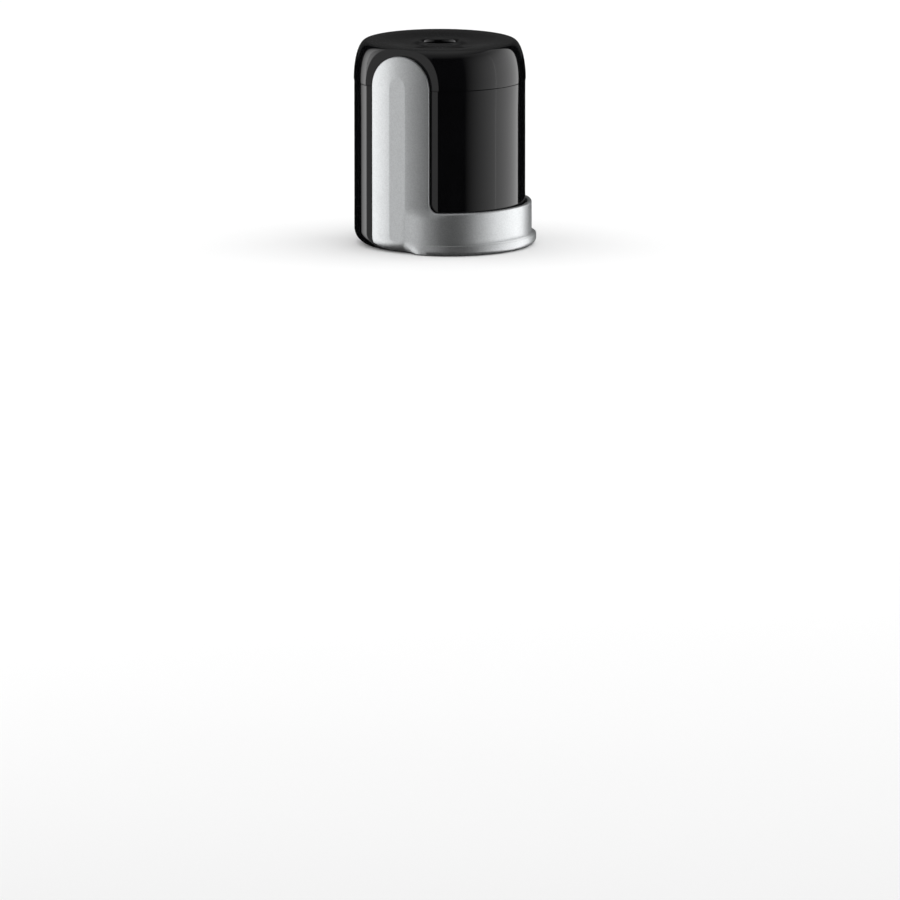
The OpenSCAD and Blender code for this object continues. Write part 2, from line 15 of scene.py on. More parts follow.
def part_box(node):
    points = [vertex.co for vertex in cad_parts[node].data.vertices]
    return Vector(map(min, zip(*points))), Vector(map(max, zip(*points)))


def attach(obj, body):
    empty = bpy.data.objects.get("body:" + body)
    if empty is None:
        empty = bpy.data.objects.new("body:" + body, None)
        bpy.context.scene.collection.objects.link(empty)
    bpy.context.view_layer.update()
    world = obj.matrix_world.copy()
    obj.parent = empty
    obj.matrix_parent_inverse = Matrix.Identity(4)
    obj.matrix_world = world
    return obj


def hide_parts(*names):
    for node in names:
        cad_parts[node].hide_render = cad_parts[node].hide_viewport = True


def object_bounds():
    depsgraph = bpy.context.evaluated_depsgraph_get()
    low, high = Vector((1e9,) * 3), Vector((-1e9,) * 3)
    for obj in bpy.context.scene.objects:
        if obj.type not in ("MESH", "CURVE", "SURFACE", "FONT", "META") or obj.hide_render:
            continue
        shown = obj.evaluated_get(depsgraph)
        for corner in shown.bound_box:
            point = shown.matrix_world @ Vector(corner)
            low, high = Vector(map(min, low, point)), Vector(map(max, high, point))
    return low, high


bl_info = {
    "name": "Bottle stopper",
    "version": (1, 0, 0),
    "blender": (4, 5, 0),
    "location": "View3D > Sidebar > Bottle stopper",
    "description": "Builds the pieces, finishes and studio of a sparkling-wine bottle stopper",
    "category": "Object",
}

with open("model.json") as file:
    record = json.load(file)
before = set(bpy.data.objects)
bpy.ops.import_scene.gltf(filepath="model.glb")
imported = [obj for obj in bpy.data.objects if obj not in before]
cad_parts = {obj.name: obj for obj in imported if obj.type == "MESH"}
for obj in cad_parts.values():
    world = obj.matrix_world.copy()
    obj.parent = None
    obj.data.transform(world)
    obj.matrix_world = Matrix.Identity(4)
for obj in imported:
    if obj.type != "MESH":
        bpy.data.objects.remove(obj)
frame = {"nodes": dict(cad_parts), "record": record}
cad_low, cad_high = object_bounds()

MM = 0.001

# Sizes in millimetres that several pieces share
SCREW_HEAD_R = 2.5
SCREW_HEAD_H = 1.6
SCREW_SHANK_R = 1.4
CAM_SCREW_LENGTH = 9.02
SOCKET_R = 3.02
SOCKET_DEPTH = 2.4
PORT_THROAT_R = 7.2
PORT_HOLE_R = 9.02

# Share of the fan's stations where the arm starts to run into the ring
ARM_START = 0.87


# ---------------------------------------------------------------- colours and settings

def tone(code):
    """Linear colour of an sRGB hex code."""
    parts = [int(code[i:i + 2], 16) / 255 for i in (1, 3, 5)]
    return [c / 12.92 if c <= 0.04045 else ((c + 0.055) / 1.055) ** 2.4 for c in parts]


def length(name, description, metres):
    """A length setting, in metres."""
    return FloatProperty(name=name, description=description, default=metres, unit="LENGTH", precision=5)


def colour(name, description, code):
    """A colour setting from an sRGB hex code."""
    return FloatVectorProperty(name=name, description=description, subtype="COLOR", size=3, min=0, max=1,
                               default=tone(code))


shell_low, shell_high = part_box("lower_shell")
cap_low, cap_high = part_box("top_cap")
lever_low, lever_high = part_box("lever")
port_low, port_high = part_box("valve_body")
plate_low, plate_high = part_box("base_plate")
seal_low, seal_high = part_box("mouth_seal")


class BodySizes(bpy.types.PropertyGroup):
    """Sizes of the round body and its cap."""
    shell_radius: length("Shell radius", "Outer radius of the lower shell", shell_high.y)
    cap_radius: length("Cap radius", "Outer radius of the cap", cap_high.y)
    flat_distance: length("Flat distance", "Distance of the side flats from the axis", shell_high.x)
    wall: length("Wall", "Wall of the shell and the cap", 0.0022)
    corner_radius: length("Bottom corner", "Radius of the shell's bottom corner", 0.0067)
    shoulder_in: length("Shoulder depth", "How far the cap's shoulder draws in", 0.0052)
    shoulder_foot: length("Shoulder foot", "Height of the straight edge under the shoulder", 0.0003)
    seam_gap: length("Seam gap", "Open line between the shell and the cap", 0.0002)
    edge_radius: length("Edge radius", "Rounding of the moulded edges", 0.00015)
    dish_outer: length("Dish rim", "Radius where the top starts to sink", 0.028)
    dish_inner: length("Dish floor", "Radius where the sunken floor starts", 0.013)
    dish_depth: length("Dish depth", "Depth of the sunken top below the rim", 0.001)


class LeverSizes(bpy.types.PropertyGroup):
    """Sizes of the locking lever."""
    arm_plane: length("Arm inside", "Distance of the arms' inner faces from the axis", 0.032)
    facet_plane: length("Facet distance", "Distance of the arms' flat facets from the axis", lever_high.x)
    arm_half_width: length("Arm half width", "Half the width of each arm", lever_high.y)
    ring_height: length("Ring height", "Height of the half ring", 0.0182)
    ring_start: length("Ring start", "How far in front of the hinge the ring starts to turn", 0.0078)
    ring_reach: length("Ring reach", "How far the ring stands out in front of the shell", 0.0024)
    ring_gap: length("Ring gap", "Gap between the ring and the shell in front", 0.0009)
    lip_height: length("Lip height", "Height of the thumb lip", 0.0048)
    lip_foot: length("Lip foot", "Rounding of the thumb lip's lower edge", 0.0028)
    lip_reach: length("Lip reach", "How far the lip stands out in front of the shell", 0.005)
    window_radius: length("Window corner", "Radius of the window's bottom corners", 0.004)
    arm_edge: length("Arm edge", "Rounding of the arms' edges", 0.00045)
    ring_edge: length("Ring edge", "Rounding of the ring's top edge", 0.001)
    blend_low: length("Blend start", "Height where the ring starts to run into the arm", 0.015)
    blend_high: length("Blend end", "Height where the ring has run into the arm", 0.021)


class FinishColours(bpy.types.PropertyGroup):
    """Colours of the finishes."""
    gloss_black: colour("Gloss black", "Polished black moulding of the body", "#060607")
    matt_black: colour("Matt black", "Fine matt moulding of the base", "#1B1B1D")
    rubber_black: colour("Rubber black", "Black rubber", "#222223")
    silicone_grey: colour("Silicone grey", "Grey silicone of the mouth seal", "#616365")
    nylon_grey: colour("Nylon grey", "Glass-filled nylon", "#42454A")
    silver: colour("Satin silver", "Silver lacquer of the lever", "#C9CBCC")
    steel: colour("Steel", "Ground stainless steel", "#BDBFC1")
    zinc: colour("Zinc", "Zinc casting", "#989CA0")
    plated: colour("Zinc plate", "Zinc-plated screws", "#B4B8BA")
    bronze: colour("Bronze", "Sintered bronze", "#B08A4E")
    brass: colour("Brass", "Turned brass", "#CDAA62")
    floor: colour("Floor", "Studio floor", "#F2F2F2")


class StudioSettings(bpy.types.PropertyGroup):
    """Camera and lights."""
    lens: FloatProperty(name="Lens", description="Focal length", default=570, min=50, max=900, unit="CAMERA")
    distance: length("Distance", "From the camera to the middle of the object", 6.0)
    azimuth: FloatProperty(name="Azimuth", description="Turn of the camera round the object",
                           default=math.radians(-60), subtype="ANGLE")
    elevation: FloatProperty(name="Elevation", description="Height angle of the camera",
                             default=math.radians(9.0), subtype="ANGLE")
    aim_right: length("Aim right", "How far to the camera's right of the axis it aims", 0.0043)
    aim_below: length("Aim below", "How far below the base it aims", 0.0891)


# ---------------------------------------------------------------- mesh helpers

def put_mesh(name, points, faces, material, body, replaced, normals=None, crease=30):
    """Makes one finished piece from points in millimetres, parents it to its body and hides the nodes it
    replaces.
    """
    mesh = bpy.data.meshes.new(name)
    mesh.from_pydata([[c * MM for c in p] for p in points], [], faces)
    mesh.validate()
    mesh.polygons.foreach_set("use_smooth", [True] * len(mesh.polygons))
    mesh.materials.append(material)
    if normals:
        mesh.normals_split_custom_set_from_vertices(normals)
    else:
        mesh.set_sharp_from_angle(angle=math.radians(crease))
    piece = bpy.data.objects.new(name, mesh)
    bpy.context.scene.collection.objects.link(piece)
    return settle(piece, body, replaced)


def settle(piece, body, replaced):
    """Parents the piece to the empty of the body it rides on and hides the CAD nodes it stands for."""
    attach(piece, body)
    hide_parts(*replaced)
    return piece


def arc(centre_r, centre_z, radius, start, end, steps):
    """Points of an arc in the radius and height plane, with angles in degrees."""
    points = []
    for i in range(steps + 1):
        angle = math.radians(start + (end - start) * i / steps)
        points.append((centre_r + radius * math.cos(angle), centre_z + radius * math.sin(angle)))
    return points


def rounded(corners, steps=4):
    """Closed outline of (radius, height, rounding) corners, each cut off by an arc of its rounding."""
    outline = []
    count = len(corners)
    for i, (r, z, radius) in enumerate(corners):
        here = Vector((r, z))
        before = Vector(corners[i - 1][:2]) - here
        after = Vector(corners[(i + 1) % count][:2]) - here
        turn = before.angle(after)
        reach = min(radius / math.tan(turn / 2), before.length * 0.49, after.length * 0.49) if radius else 0
        if reach < 1e-6:
            outline.append((r, z))
            continue
        first = here + before.normalized() * reach
        last = here + after.normalized() * reach
        for k in range(steps + 1):
            t = k / steps
            outline.append(tuple(first * (1 - t) ** 2 + here * 2 * t * (1 - t) + last * t ** 2))
    return outline


def ring_faces(rows, columns):
    """Quads of a grid that closes on itself both ways, rows along the outline and columns round the axis."""
    faces = []
    for i in range(rows):
        below = i * columns
        above = ((i + 1) % rows) * columns
        for j in range(columns):
            k = (j + 1) % columns
            faces.append((below + j, below + k, above + k, above + j))
    return faces


def turned(name, outline, material, body, replaced, segments=128, crease=30):
    """A piece turned round the axis from a closed outline of (radius, height) points, drawn anticlockwise."""
    points = []
    for r, z in outline:
        for j in range(segments):
            angle = 2 * math.pi * j / segments
            points.append((r * math.cos(angle), r * math.sin(angle), z))
    return put_mesh(name, points, ring_faces(len(outline), segments), material, body, replaced,
                    crease=crease)


def softer(a, b, width):
    """The smaller of two values, with the change from one to the other rounded over width."""
    overlap = max(width - abs(a - b), 0) / width
    return min(a, b) - overlap * overlap * width / 4


def ease(low, high, value):
    """Smooth step from 0 at low to 1 at high."""
    t = min(max((value - low) / (high - low), 0), 1)
    return t * t * (3 - 2 * t)


def flatted(outline, edge):
    """Points of a turned body whose two sides are cut flat, and how many columns each row has.

    The outline holds (radius, height, distance of the flats). The columns follow the flats' edges.
    """
    shares = [0, 0.3, 0.6, 0.85]
    near = [-2.2, -1.0, -0.5, 0, 0.5, 1.0, 2.2]
    round_steps = 26
    points = []
    for r, z, flat in outline:
        edge_angle = max(math.acos(min(1, flat / r)), 0.004)
        width = min(edge / (max(math.tan(edge_angle), 0.02) * r), edge_angle / 16)
        quarter = [edge_angle * s for s in shares]
        quarter += [edge_angle + width * n for n in near]
        start = quarter[-1]
        quarter += [start + (math.pi / 2 - start) * k / round_steps for k in range(1, round_steps)]
        angles = quarter + [math.pi / 2] + [math.pi - a for a in reversed(quarter[1:])]
        angles += [a + math.pi for a in angles]
        for a in angles:
            reach = softer(r, flat / max(abs(math.cos(a)), 1e-6), edge)
            points.append((reach * math.cos(a), reach * math.sin(a), z))
    return points, len(angles)


# ---------------------------------------------------------------- finishes

def add(tree, kind, inputs=None, **settings):
    """Adds one node. Inputs given as sockets are linked, and the others are set as values."""
    node = tree.nodes.new(kind)
    for key, value in settings.items():
        setattr(node, key, value)
    for key, value in (inputs or {}).items():
        if isinstance(value, bpy.types.NodeSocket):
            tree.links.new(value, node.inputs[key])
        else:
            node.inputs[key].default_value = value
    return node


def per_metre(millimetres):
    """Texture scale for a pattern that repeats about every so many millimetres."""
    return 1000 / millimetres


def finish(name, rgb, marks, tint, sheen, relief, **values):
    """Makes one material from its marks, which are textures in the piece's own place in metres.

    A mark is (texture, millimetres, output, inputs, settings). Tint is (mark, share at 0, share at 1) of the
    colour, sheen is (mark, smooth, rough) and relief is (mark, micrometres). The values go to the shader.
    """
    material = bpy.data.materials.new(name)
    material.use_nodes = True
    tree = material.node_tree
    tree.nodes.clear()
    shader = add(tree, "ShaderNodeBsdfPrincipled")
    add(tree, "ShaderNodeOutputMaterial", {"Surface": shader.outputs["BSDF"]})
    place = add(tree, "ShaderNodeTexCoord").outputs["Object"]
    made = {}
    for mark, (kind, millimetres, output, inputs, settings) in marks.items():
        inputs = dict(inputs)
        at = place
        if "stretch" in inputs:
            at = add(tree, "ShaderNodeMapping", {"Vector": place, "Scale": inputs.pop("stretch")})
            at = at.outputs["Vector"]
        texture = add(tree, "ShaderNodeTex" + kind,
                      {"Vector": at, "Scale": per_metre(millimetres), **inputs}, **settings)
        made[mark] = texture.outputs[output]
        if output == "Color":
            made[mark] = add(tree, "ShaderNodeSeparateColor", {"Color": made[mark]}).outputs["Red"]
    dark, light = ([min(c * share, 1) for c in rgb] for share in tint[1:])
    base = add(tree, "ShaderNodeMix", {"Factor": made[tint[0]], 6: (*dark, 1), 7: (*light, 1)},
               data_type="RGBA")
    rough = add(tree, "ShaderNodeMapRange", {"Value": made[sheen[0]], "To Min": sheen[1], "To Max": sheen[2]})
    bump = add(tree, "ShaderNodeBump", {"Height": made[relief[0]], "Distance": relief[1] * 1e-6,
                                        "Strength": 1.0})
    tree.links.new(base.outputs[2], shader.inputs["Base Color"])
    tree.links.new(rough.outputs["Result"], shader.inputs["Roughness"])
    tree.links.new(bump.outputs["Normal"], shader.inputs["Normal"])
    for key, value in values.items():
        shader.inputs[key].default_value = value
    return material


def noise(millimetres, detail, **more):
    """Settings of a cloudy mark."""
    return "Noise", millimetres, "Fac", {"Detail": detail, **more}, {}


def moulded_rubber(name, rgb, rough):
    """Rubber or silicone moulded in a blasted tool: dull, with a faint bloom and fine pits."""
    return finish(name, rgb, {"bloom": noise(6, 4.0), "pits": noise(0.3, 3.0)},
                  ("bloom", 0.8, 1.25), ("bloom", rough - 0.08, rough + 0.08), ("pits", 18), IOR=1.52)


def ground_steel(name, rgb, line, stretch, smooth, rough):
    """Steel, ground, drawn or plated: bright, with fine lines one way and slight changes in sheen."""
    return finish(name, rgb, {"lines": noise(line, 5.0, stretch=stretch), "cloud": noise(7, 2.0)},
                  ("cloud", 0.88, 1.08), ("lines", smooth, rough), ("lines", 5), Metallic=1.0)


def cast_metal(name, rgb, grain, depth, smooth, rough):
    """Cast or sintered metal: dull, with pores and darker hollows."""
    return finish(name, rgb, {"pores": ("Voronoi", grain, "Distance", {}, {}), "cloud": noise(5, 4.0)},
                  ("pores", 1.05, 0.75), ("cloud", smooth, rough), ("pores", depth), Metallic=1.0)


def turned_metal(name, rgb, feed, smooth, rough):
    """Metal turned on a lathe: fine tool rings that follow the axis, over slight staining."""
    rings = ("Wave", feed * 20, "Fac", {"Distortion": 0.6, "Detail": 2.0},
             {"wave_type": "BANDS", "bands_direction": "Z"})
    return finish(name, rgb, {"rings": rings, "stain": noise(6, 3.0)},
                  ("stain", 0.82, 1.06), ("stain", smooth, rough), ("rings", 4), Metallic=1.0)


def studio_floor(colours):
    """Pale painted floor: matt, with hardly any mottling."""
    return finish("painted_floor", colours.floor, {"cloud": noise(400, 2.0)},
                  ("cloud", 0.985, 1.0), ("cloud", 0.75, 0.85), ("cloud", 2))


def finishes(colours):
    """Every material slot of the record with its finish."""
    # ABS from a polished tool: piano black with a hint of orange peel and of handling haze
    polished_abs = finish("polished_abs", colours.gloss_black,
                          {"haze": noise(14, 3.0), "peel": noise(2.4, 1.0)},
                          ("haze", 0.7, 1.3), ("haze", 0.035, 0.085), ("peel", 1.2), IOR=1.5)
    # ABS from a spark-eroded tool: fine matt black grain
    textured_abs = finish("textured_abs", colours.matt_black,
                          {"grain": noise(0.35, 4.0), "cloud": noise(11, 2.0)},
                          ("grain", 0.7, 1.35), ("cloud", 0.42, 0.62), ("grain", 25), IOR=1.53)
    # Glass-filled nylon: dull grey with short glass fibres showing as pale streaks
    glass_nylon = finish("glass_filled_nylon", colours.nylon_grey,
                         {"fibres": noise(0.45, 5.0, stretch=(1, 1, 0.18)), "flow": noise(8, 2.0)},
                         ("fibres", 0.7, 1.5), ("flow", 0.45, 0.65), ("fibres", 20), IOR=1.53)
    # Silver lacquer sprayed on a casting: satin, with fine metal flake drawn a little coarse to show
    silver_lacquer = finish("silver_lacquer", colours.silver,
                            {"flake": ("Voronoi", 0.42, "Color", {}, {}), "cloud": noise(9, 3.0),
                             "grain": noise(0.5, 2.0)},
                            ("flake", 0.93, 1.06), ("cloud", 0.34, 0.42), ("grain", 14), Metallic=0.9)
    return {
        "black_gloss": polished_abs,
        "black_base": textured_abs,
        "black_rubber": moulded_rubber("nitrile_rubber", colours.rubber_black, 0.62),
        "seal_rubber": moulded_rubber("silicone_rubber", colours.silicone_grey, 0.5),
        "grey_nylon": glass_nylon,
        "bronze": cast_metal("sintered_bronze", colours.bronze, 0.35, 12, 0.35, 0.5),
        "brass": turned_metal("turned_brass", colours.brass, 0.25, 0.18, 0.32),
        "satin_silver": silver_lacquer,
        "zinc_casting": cast_metal("zinc_casting", colours.zinc, 0.6, 20, 0.35, 0.55),
        "steel": ground_steel("ground_stainless", colours.steel, 0.5, (0.06, 1, 1), 0.2, 0.34),
        "spring_steel": ground_steel("drawn_spring_wire", colours.steel, 0.3, (1, 1, 0.3), 0.22, 0.36),
        "zinc_screw": ground_steel("zinc_plate", colours.plated, 0.6, (1, 1, 1), 0.25, 0.42),
        "grey_nut": turned_metal("machined_aluminium", colours.steel, 0.3, 0.25, 0.38),
    }


def slot_finish(slot):
    """The finish of a slot, made once by the finishes operator."""
    return bpy.data.materials[bpy.context.scene["finish_of_slot"][slot]]


# ---------------------------------------------------------------- the body

def body_settings():
    """The body's sizes in millimetres, by name."""
    group = bpy.context.scene.stopper_body
    return {key: getattr(group, key) / MM for key in BodySizes.__annotations__}


def shoulder(rim, depth, foot, height, flat):
    """Outline of the cap's shoulder, with its rows dense where the flats run out on it."""
    angles = {90 * i / 28 for i in range(29)}
    wide = rim + depth
    if rim < flat < wide:
        widest = math.acos(flat / wide)
        for i in range(25):
            radius = flat / math.cos(widest * i / 24)
            angles.add(math.degrees(math.acos(min(1, max(0, (radius - rim) / depth)))))
        top = math.degrees(math.acos((flat - rim) / depth))
        angles.update((top + 0.25, top + 0.6, top + 1.2))
    ordered = sorted(angles)
    kept = [ordered[0]]
    for a in ordered[1:]:
        if a - kept[-1] > 0.05:
            kept.append(a)
    kept[-1] = 90
    return [(rim + depth * math.cos(math.radians(a)), foot + (height - foot) * math.sin(math.radians(a)))
            for a in kept]


def shell_outline(s):
    """Closed outline of the lower shell: floor, corner, side, rim, then back down the inside."""
    hole = plate_high.x / MM - 2.6
    edge = s["edge_radius"]
    top = shell_high.z / MM
    corner = s["corner_radius"]
    outer = s["shell_radius"]
    flat = s["flat_distance"]
    inner = outer - s["wall"]
    inner_flat = flat - s["wall"]
    rows = [(hole, 0, flat), (hole + 1, 0, flat)]
    run = [math.degrees(math.acos(min(1, (flat / math.cos(i * 0.055) - outer + corner) / corner)))
           for i in range(9) if flat / math.cos(i * 0.055) < outer]
    low = sorted({-90 + 90 * i / 20 for i in range(21)} | {-a for a in run})
    for a in low:
        turn = math.radians(a)
        rows.append((outer - corner + corner * math.cos(turn), corner + corner * math.sin(turn), flat))
    rows += [(outer, corner + (top - corner) * i / 6, flat) for i in range(1, 6)]
    rows += [(r, z, flat) for r, z in arc(outer - edge, top - edge, edge, 0, 90, 4)]
    rows += [(r, z, inner_flat) for r, z in arc(inner + edge, top - edge, edge, 90, 180, 3)]
    rows += [(inner, top - (top - corner) * i / 4, inner_flat) for i in range(1, 5)]
    inner_corner = corner - s["wall"]
    for i in range(1, 11):
        turn = math.radians(-90 * i / 10)
        rows.append((inner - inner_corner + inner_corner * math.cos(turn),
                     corner + inner_corner * math.sin(turn), inner_flat))
    rows += [(hole, s["wall"], inner_flat)]
    return rows


def cap_outline(s):
    """Closed outline of the cap: foot, side, shoulder, sunken top, port hole, then back along the inside."""
    edge = s["edge_radius"]
    foot = shell_high.z / MM + s["seam_gap"]
    start = foot + s["shoulder_foot"]
    top = cap_high.z / MM
    outer = s["cap_radius"]
    flat = s["flat_distance"]
    rim = outer - s["shoulder_in"]
    wall = s["wall"]
    hole = PORT_HOLE_R
    floor = top - s["dish_depth"]
    rows = [(r, z, flat) for r, z in arc(outer - edge, foot + edge, edge, -90, 0, 4)]
    rows += [(r, z, flat) for r, z in shoulder(rim, s["shoulder_in"], start, top, flat)]
    out, inside = s["dish_outer"], s["dish_inner"]
    for i in range(1, 25):
        r = rim + (out - rim) * 0.5 if i == 1 else out + (inside - out) * (i - 2) / 22
        rows.append((r, top - s["dish_depth"] * (1 - ease(inside, out, r)), flat))
    rows += [(hole + edge, floor, flat), (hole, floor - edge, flat)]
    roof = floor - wall
    rows += [(hole, roof, flat - wall)]
    for i in range(13):
        turn = math.radians(90 - 90 * i / 12)
        rows.append((rim - wall + s["shoulder_in"] * math.cos(turn),
                     start + (roof - start) * math.sin(turn), flat - wall))
    rows += [(outer - wall, foot, flat - wall)]
    return rows


def cap_bosses(s):
    """Points and faces of the four screw bosses and the two locating skirts inside the cap."""
    roof = cap_high.z / MM - s["dish_depth"] - s["wall"]
    low = cap_low.z / MM
    screws_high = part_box("cap_screws")[1]
    at = screws_high.x / MM - SCREW_HEAD_R
    points, faces = [], []

    around = [2 * math.pi * j / 24 for j in range(24)]
    bore, outer = 1.42, 3.5
    for x in (-at, at):
        for y in (-at, at):
            outline = [(bore, roof + 1), (bore, low), (outer, low), (outer, roof + 1)]
            tube = [[(x + r * math.cos(a), y + r * math.sin(a), z) for a in around] for r, z in outline]
            shift = len(points)
            points += [p for row in tube for p in row]
            faces += [tuple(i + shift for i in f) for f in ring_faces(len(tube), len(around))]
    seam = shell_high.z / MM
    section = [(32.2, seam + 1), (32.2, seam - 2.4), (33.5, seam - 2.4), (33.5, seam + 1)]
    for side in (-1, 1):
        sweep = [side * math.pi / 2 + math.radians(a) for a in range(-60, 61, 4)]
        shift = len(points)
        for r, z in section:
            points.extend((r * math.cos(a), r * math.sin(a), z) for a in sweep)
        count = len(sweep)
        for i in range(4):
            below, above = shift + i * count, shift + (i + 1) % 4 * count
            faces.extend((below + j, below + j + 1, above + j + 1, above + j) for j in range(count - 1))
        faces.append(tuple(shift + i * count for i in range(4)))
        faces.append(tuple(shift + i * count + count - 1 for i in reversed(range(4))))
    return points, faces


def body_piece(name, rows, edge, extra=None):
    """One of the two mouldings of the body, with the bosses and skirts that stand inside it."""
    points, columns = flatted(rows, edge)
    faces = ring_faces(len(rows), columns)
    if extra:
        more_points, more_faces = extra
        shift = len(points)
        points += more_points
        faces += [tuple(i + shift for i in f) for f in more_faces]
    return put_mesh(name + "_moulding", points, faces, slot_finish("black_gloss"), "housing", [name])


# ---------------------------------------------------------------- the lever

class LeverForm:
    """The lever as two distances along a fan of level rays, one to its outside and one to its inside.

    A station is the way along the U from the middle of the ring, in millimetres. The rays of the arms
    point straight out to the sides, and those of the ring turn about the point between the arms' fronts.
    """

    def __init__(self, body, lever):
        self.body_r = body["shell_radius"]
        self.corner = body["corner_radius"]
        self.shoulder_in = self.body_r - (body["cap_radius"] - body["shoulder_in"])
        self.shoulder_z = shell_high.z / MM + body["seam_gap"] + body["shoulder_foot"]
        self.top = cap_high.z / MM
        self.flat = body["flat_distance"]
        self.fan_y = -math.sqrt(self.body_r ** 2 - self.flat ** 2)
        self.fan = 44.0
        self.arm = lever["arm_half_width"]
        self.arm_plane = lever["arm_plane"]
        self.facet = lever["facet_plane"]
        self.ring_h = lever["ring_height"]
        self.window = lever["window_radius"]
        self.lip_h = lever["lip_height"]
        self.blend = (lever["blend_low"], lever["blend_high"])
        self.ring_y = -lever["ring_start"]
        self.ring_depth = self.body_r + lever["ring_reach"] + self.ring_y
        self.lip_depth = self.body_r + lever["lip_reach"] + self.ring_y
        front = self.body_r + lever["ring_gap"]
        self.cavity_y = -(front ** 2 - self.arm_plane ** 2 - self.fan_y ** 2) / (2 * (front + self.fan_y))
        self.cavity_r = front + self.cavity_y
        self.hinge_z = shell_high.z / MM + body["seam_gap"] / 2
        self.hinge_station = self.fan - self.fan_y
        self.rear_station = self.hinge_station + self.arm
        self.front_station = self.hinge_station - self.arm
        self.lip_edge = 0.5
        self.lip_foot = lever["lip_foot"]

    def corner_inset(self, z):
        """How far the rounded bottom corner draws the outside in at a height."""
        if z >= self.corner:
            return 0
        return self.corner - math.sqrt(max(self.corner ** 2 - (self.corner - z) ** 2, 0))

    def body_radius(self, z):
        """Radius of the arms' outside at a height."""
        if z < self.shoulder_z:
            return self.body_r - self.corner_inset(z)
        up = min((z - self.shoulder_z) / (self.top - self.shoulder_z), 1)
        return self.body_r - self.shoulder_in * (1 - math.sqrt(1 - up * up))

    def ray(self, station):
        """Start and direction of the ray at a station."""
        side = 1 if station >= 0 else -1
        along = abs(station)
        if along >= self.fan:
            return self.fan_y + along - self.fan, side, 0.0
        turn = along / self.fan * math.pi / 2
        return self.fan_y, side * math.sin(turn), -math.cos(turn)

    def reach(self, ray, centre_y, radius):
        """Distance along a ray to a circle round a point on the Y axis."""
        y, dx, dy = ray
        offset = y - centre_y
        return -dy * offset + math.sqrt(max(radius ** 2 - (offset * dx) ** 2, 0))

    def oval(self, ray, depth, inset):
        """Distance along a ray to the ring's oval, which runs on straight along the arms' facets."""
        y, dx, dy = ray
        if y > self.ring_y:
            return (self.facet if y < 0 else 0) - inset
        side, front = self.facet - inset, depth - inset
        offset = y - self.ring_y
        a = (dx / side) ** 2 + (dy / front) ** 2
        b = dy * offset / front ** 2
        c = (offset / front) ** 2 - 1
        return (-b + math.sqrt(max(b * b - a * c, 0))) / a

    def raw_outside(self, station, z):
        """Distance to the outside before the facet is cut."""
        ray = self.ray(station)
        body = self.reach(ray, 0, self.body_radius(z))
        squared = 0.8 * ease(0, 0.8 * self.arm, self.hinge_station - abs(station))
        ring = self.oval(ray, self.ring_depth, self.corner_inset(z) * (1 - squared))
        near_arm = ease(ARM_START * self.fan, self.front_station, abs(station))
        share = 1 - ease(*self.blend, z) * near_arm
        return body + share * max(0, ring - body)

    def outside(self, station, z):
        """Distance to the outside, with the facet and the thumb lip."""
        distance = self.raw_outside(station, z)
        ray = self.ray(station)
        if abs(ray[1]) > 0.5:
            ring_share = (1 - ease(*self.blend, z)) * ease(0, self.arm, self.hinge_station - abs(station))
            distance = softer(distance, self.facet / abs(ray[1]), 0.02 + 0.5 * ring_share)
        if z < self.lip_h + 0.05 and abs(station) < self.front_station:
            distance = max(distance, self.lip(ray, z))
        return distance

    def lip(self, ray, z):
        """Distance to the thumb lip's outside, with its rounded top edge and its level top."""
        reach = self.oval(ray, self.lip_depth, 0)
        crown = self.lip_h - 0.05
        rise = max(0, min(z, crown) - (crown - self.lip_edge))
        reach -= self.lip_edge - math.sqrt(max(self.lip_edge ** 2 - rise ** 2, 0))
        low = max(0, self.lip_foot - z)
        reach -= self.lip_foot - math.sqrt(max(self.lip_foot ** 2 - low ** 2, 0))
        if z > crown:
            reach -= 8 * (z - crown) / 0.1
        return reach

    def inside(self, station):
        """Distance to the inside."""
        ray = self.ray(station)
        distance = self.reach(ray, self.cavity_y, self.cavity_r)
        if abs(ray[1]) > 0.5:
            distance = min(distance, self.arm_plane / abs(ray[1]))
        return distance

    def point(self, station, z, distance):
        """Place of a distance along a ray."""
        y, dx, dy = self.ray(station)
        return Vector((dx * distance, y + dy * distance, z))

    def foot(self, station):
        """Lowest height where the wall is thick enough to be moulded."""
        least = self.inside(station) + 0.4
        if self.outside(station, 0) >= least:
            return 0.0
        low, high = 0.0, self.corner
        for _ in range(24):
            middle = (low + high) / 2
            if self.outside(station, middle) < least:
                low = middle
            else:
                high = middle
        return high

    def outline(self):
        """Edge of the lever as (station, height, rounding), anticlockwise from the middle of its foot."""
        hinge, rear, front = self.hinge_station, self.rear_station, self.front_station
        half = []
        count = 110
        for i in range(count + 1):
            station = rear * i / count
            half.append((station, self.foot(station), "foot"))
        low = half[-1][1]
        half += [(rear, low + (self.hinge_z - low) * i / 44, "arm") for i in range(1, 44)]
        for i in range(49):
            turn = math.pi * i / 48
            half.append((hinge + self.arm * math.cos(turn), self.hinge_z + self.arm * math.sin(turn), "arm"))
        corner_z = self.ring_h + self.window
        half += [(front, self.hinge_z + (corner_z - self.hinge_z) * i / 32, "arm") for i in range(1, 32)]
        for i in range(11):
            turn = -math.pi / 2 * i / 10
            half.append((front - self.window + self.window * math.cos(turn),
                         corner_z + self.window * math.sin(turn), "window"))
        start = front - self.window
        half += [(start * (1 - i / 60), self.ring_h, "ring") for i in range(1, 61)]
        other = [(-s, z, kind) for s, z, kind in reversed(half[1:-1])]
        return half + other


def inward_normals(outline):
    """Direction into the sheet at each point of its anticlockwise outline."""
    count = len(outline)
    result = []
    for i in range(count):
        before = Vector(outline[i][:2]) - Vector(outline[i - 1][:2])
        after = Vector(outline[(i + 1) % count][:2]) - Vector(outline[i][:2])
        before.normalize()
        after.normalize()
        run = (before + after).normalized()
        stretch = 1 / max(run.dot(after), 0.6)
        result.append(Vector((-run.y, run.x)) * stretch)
    return result


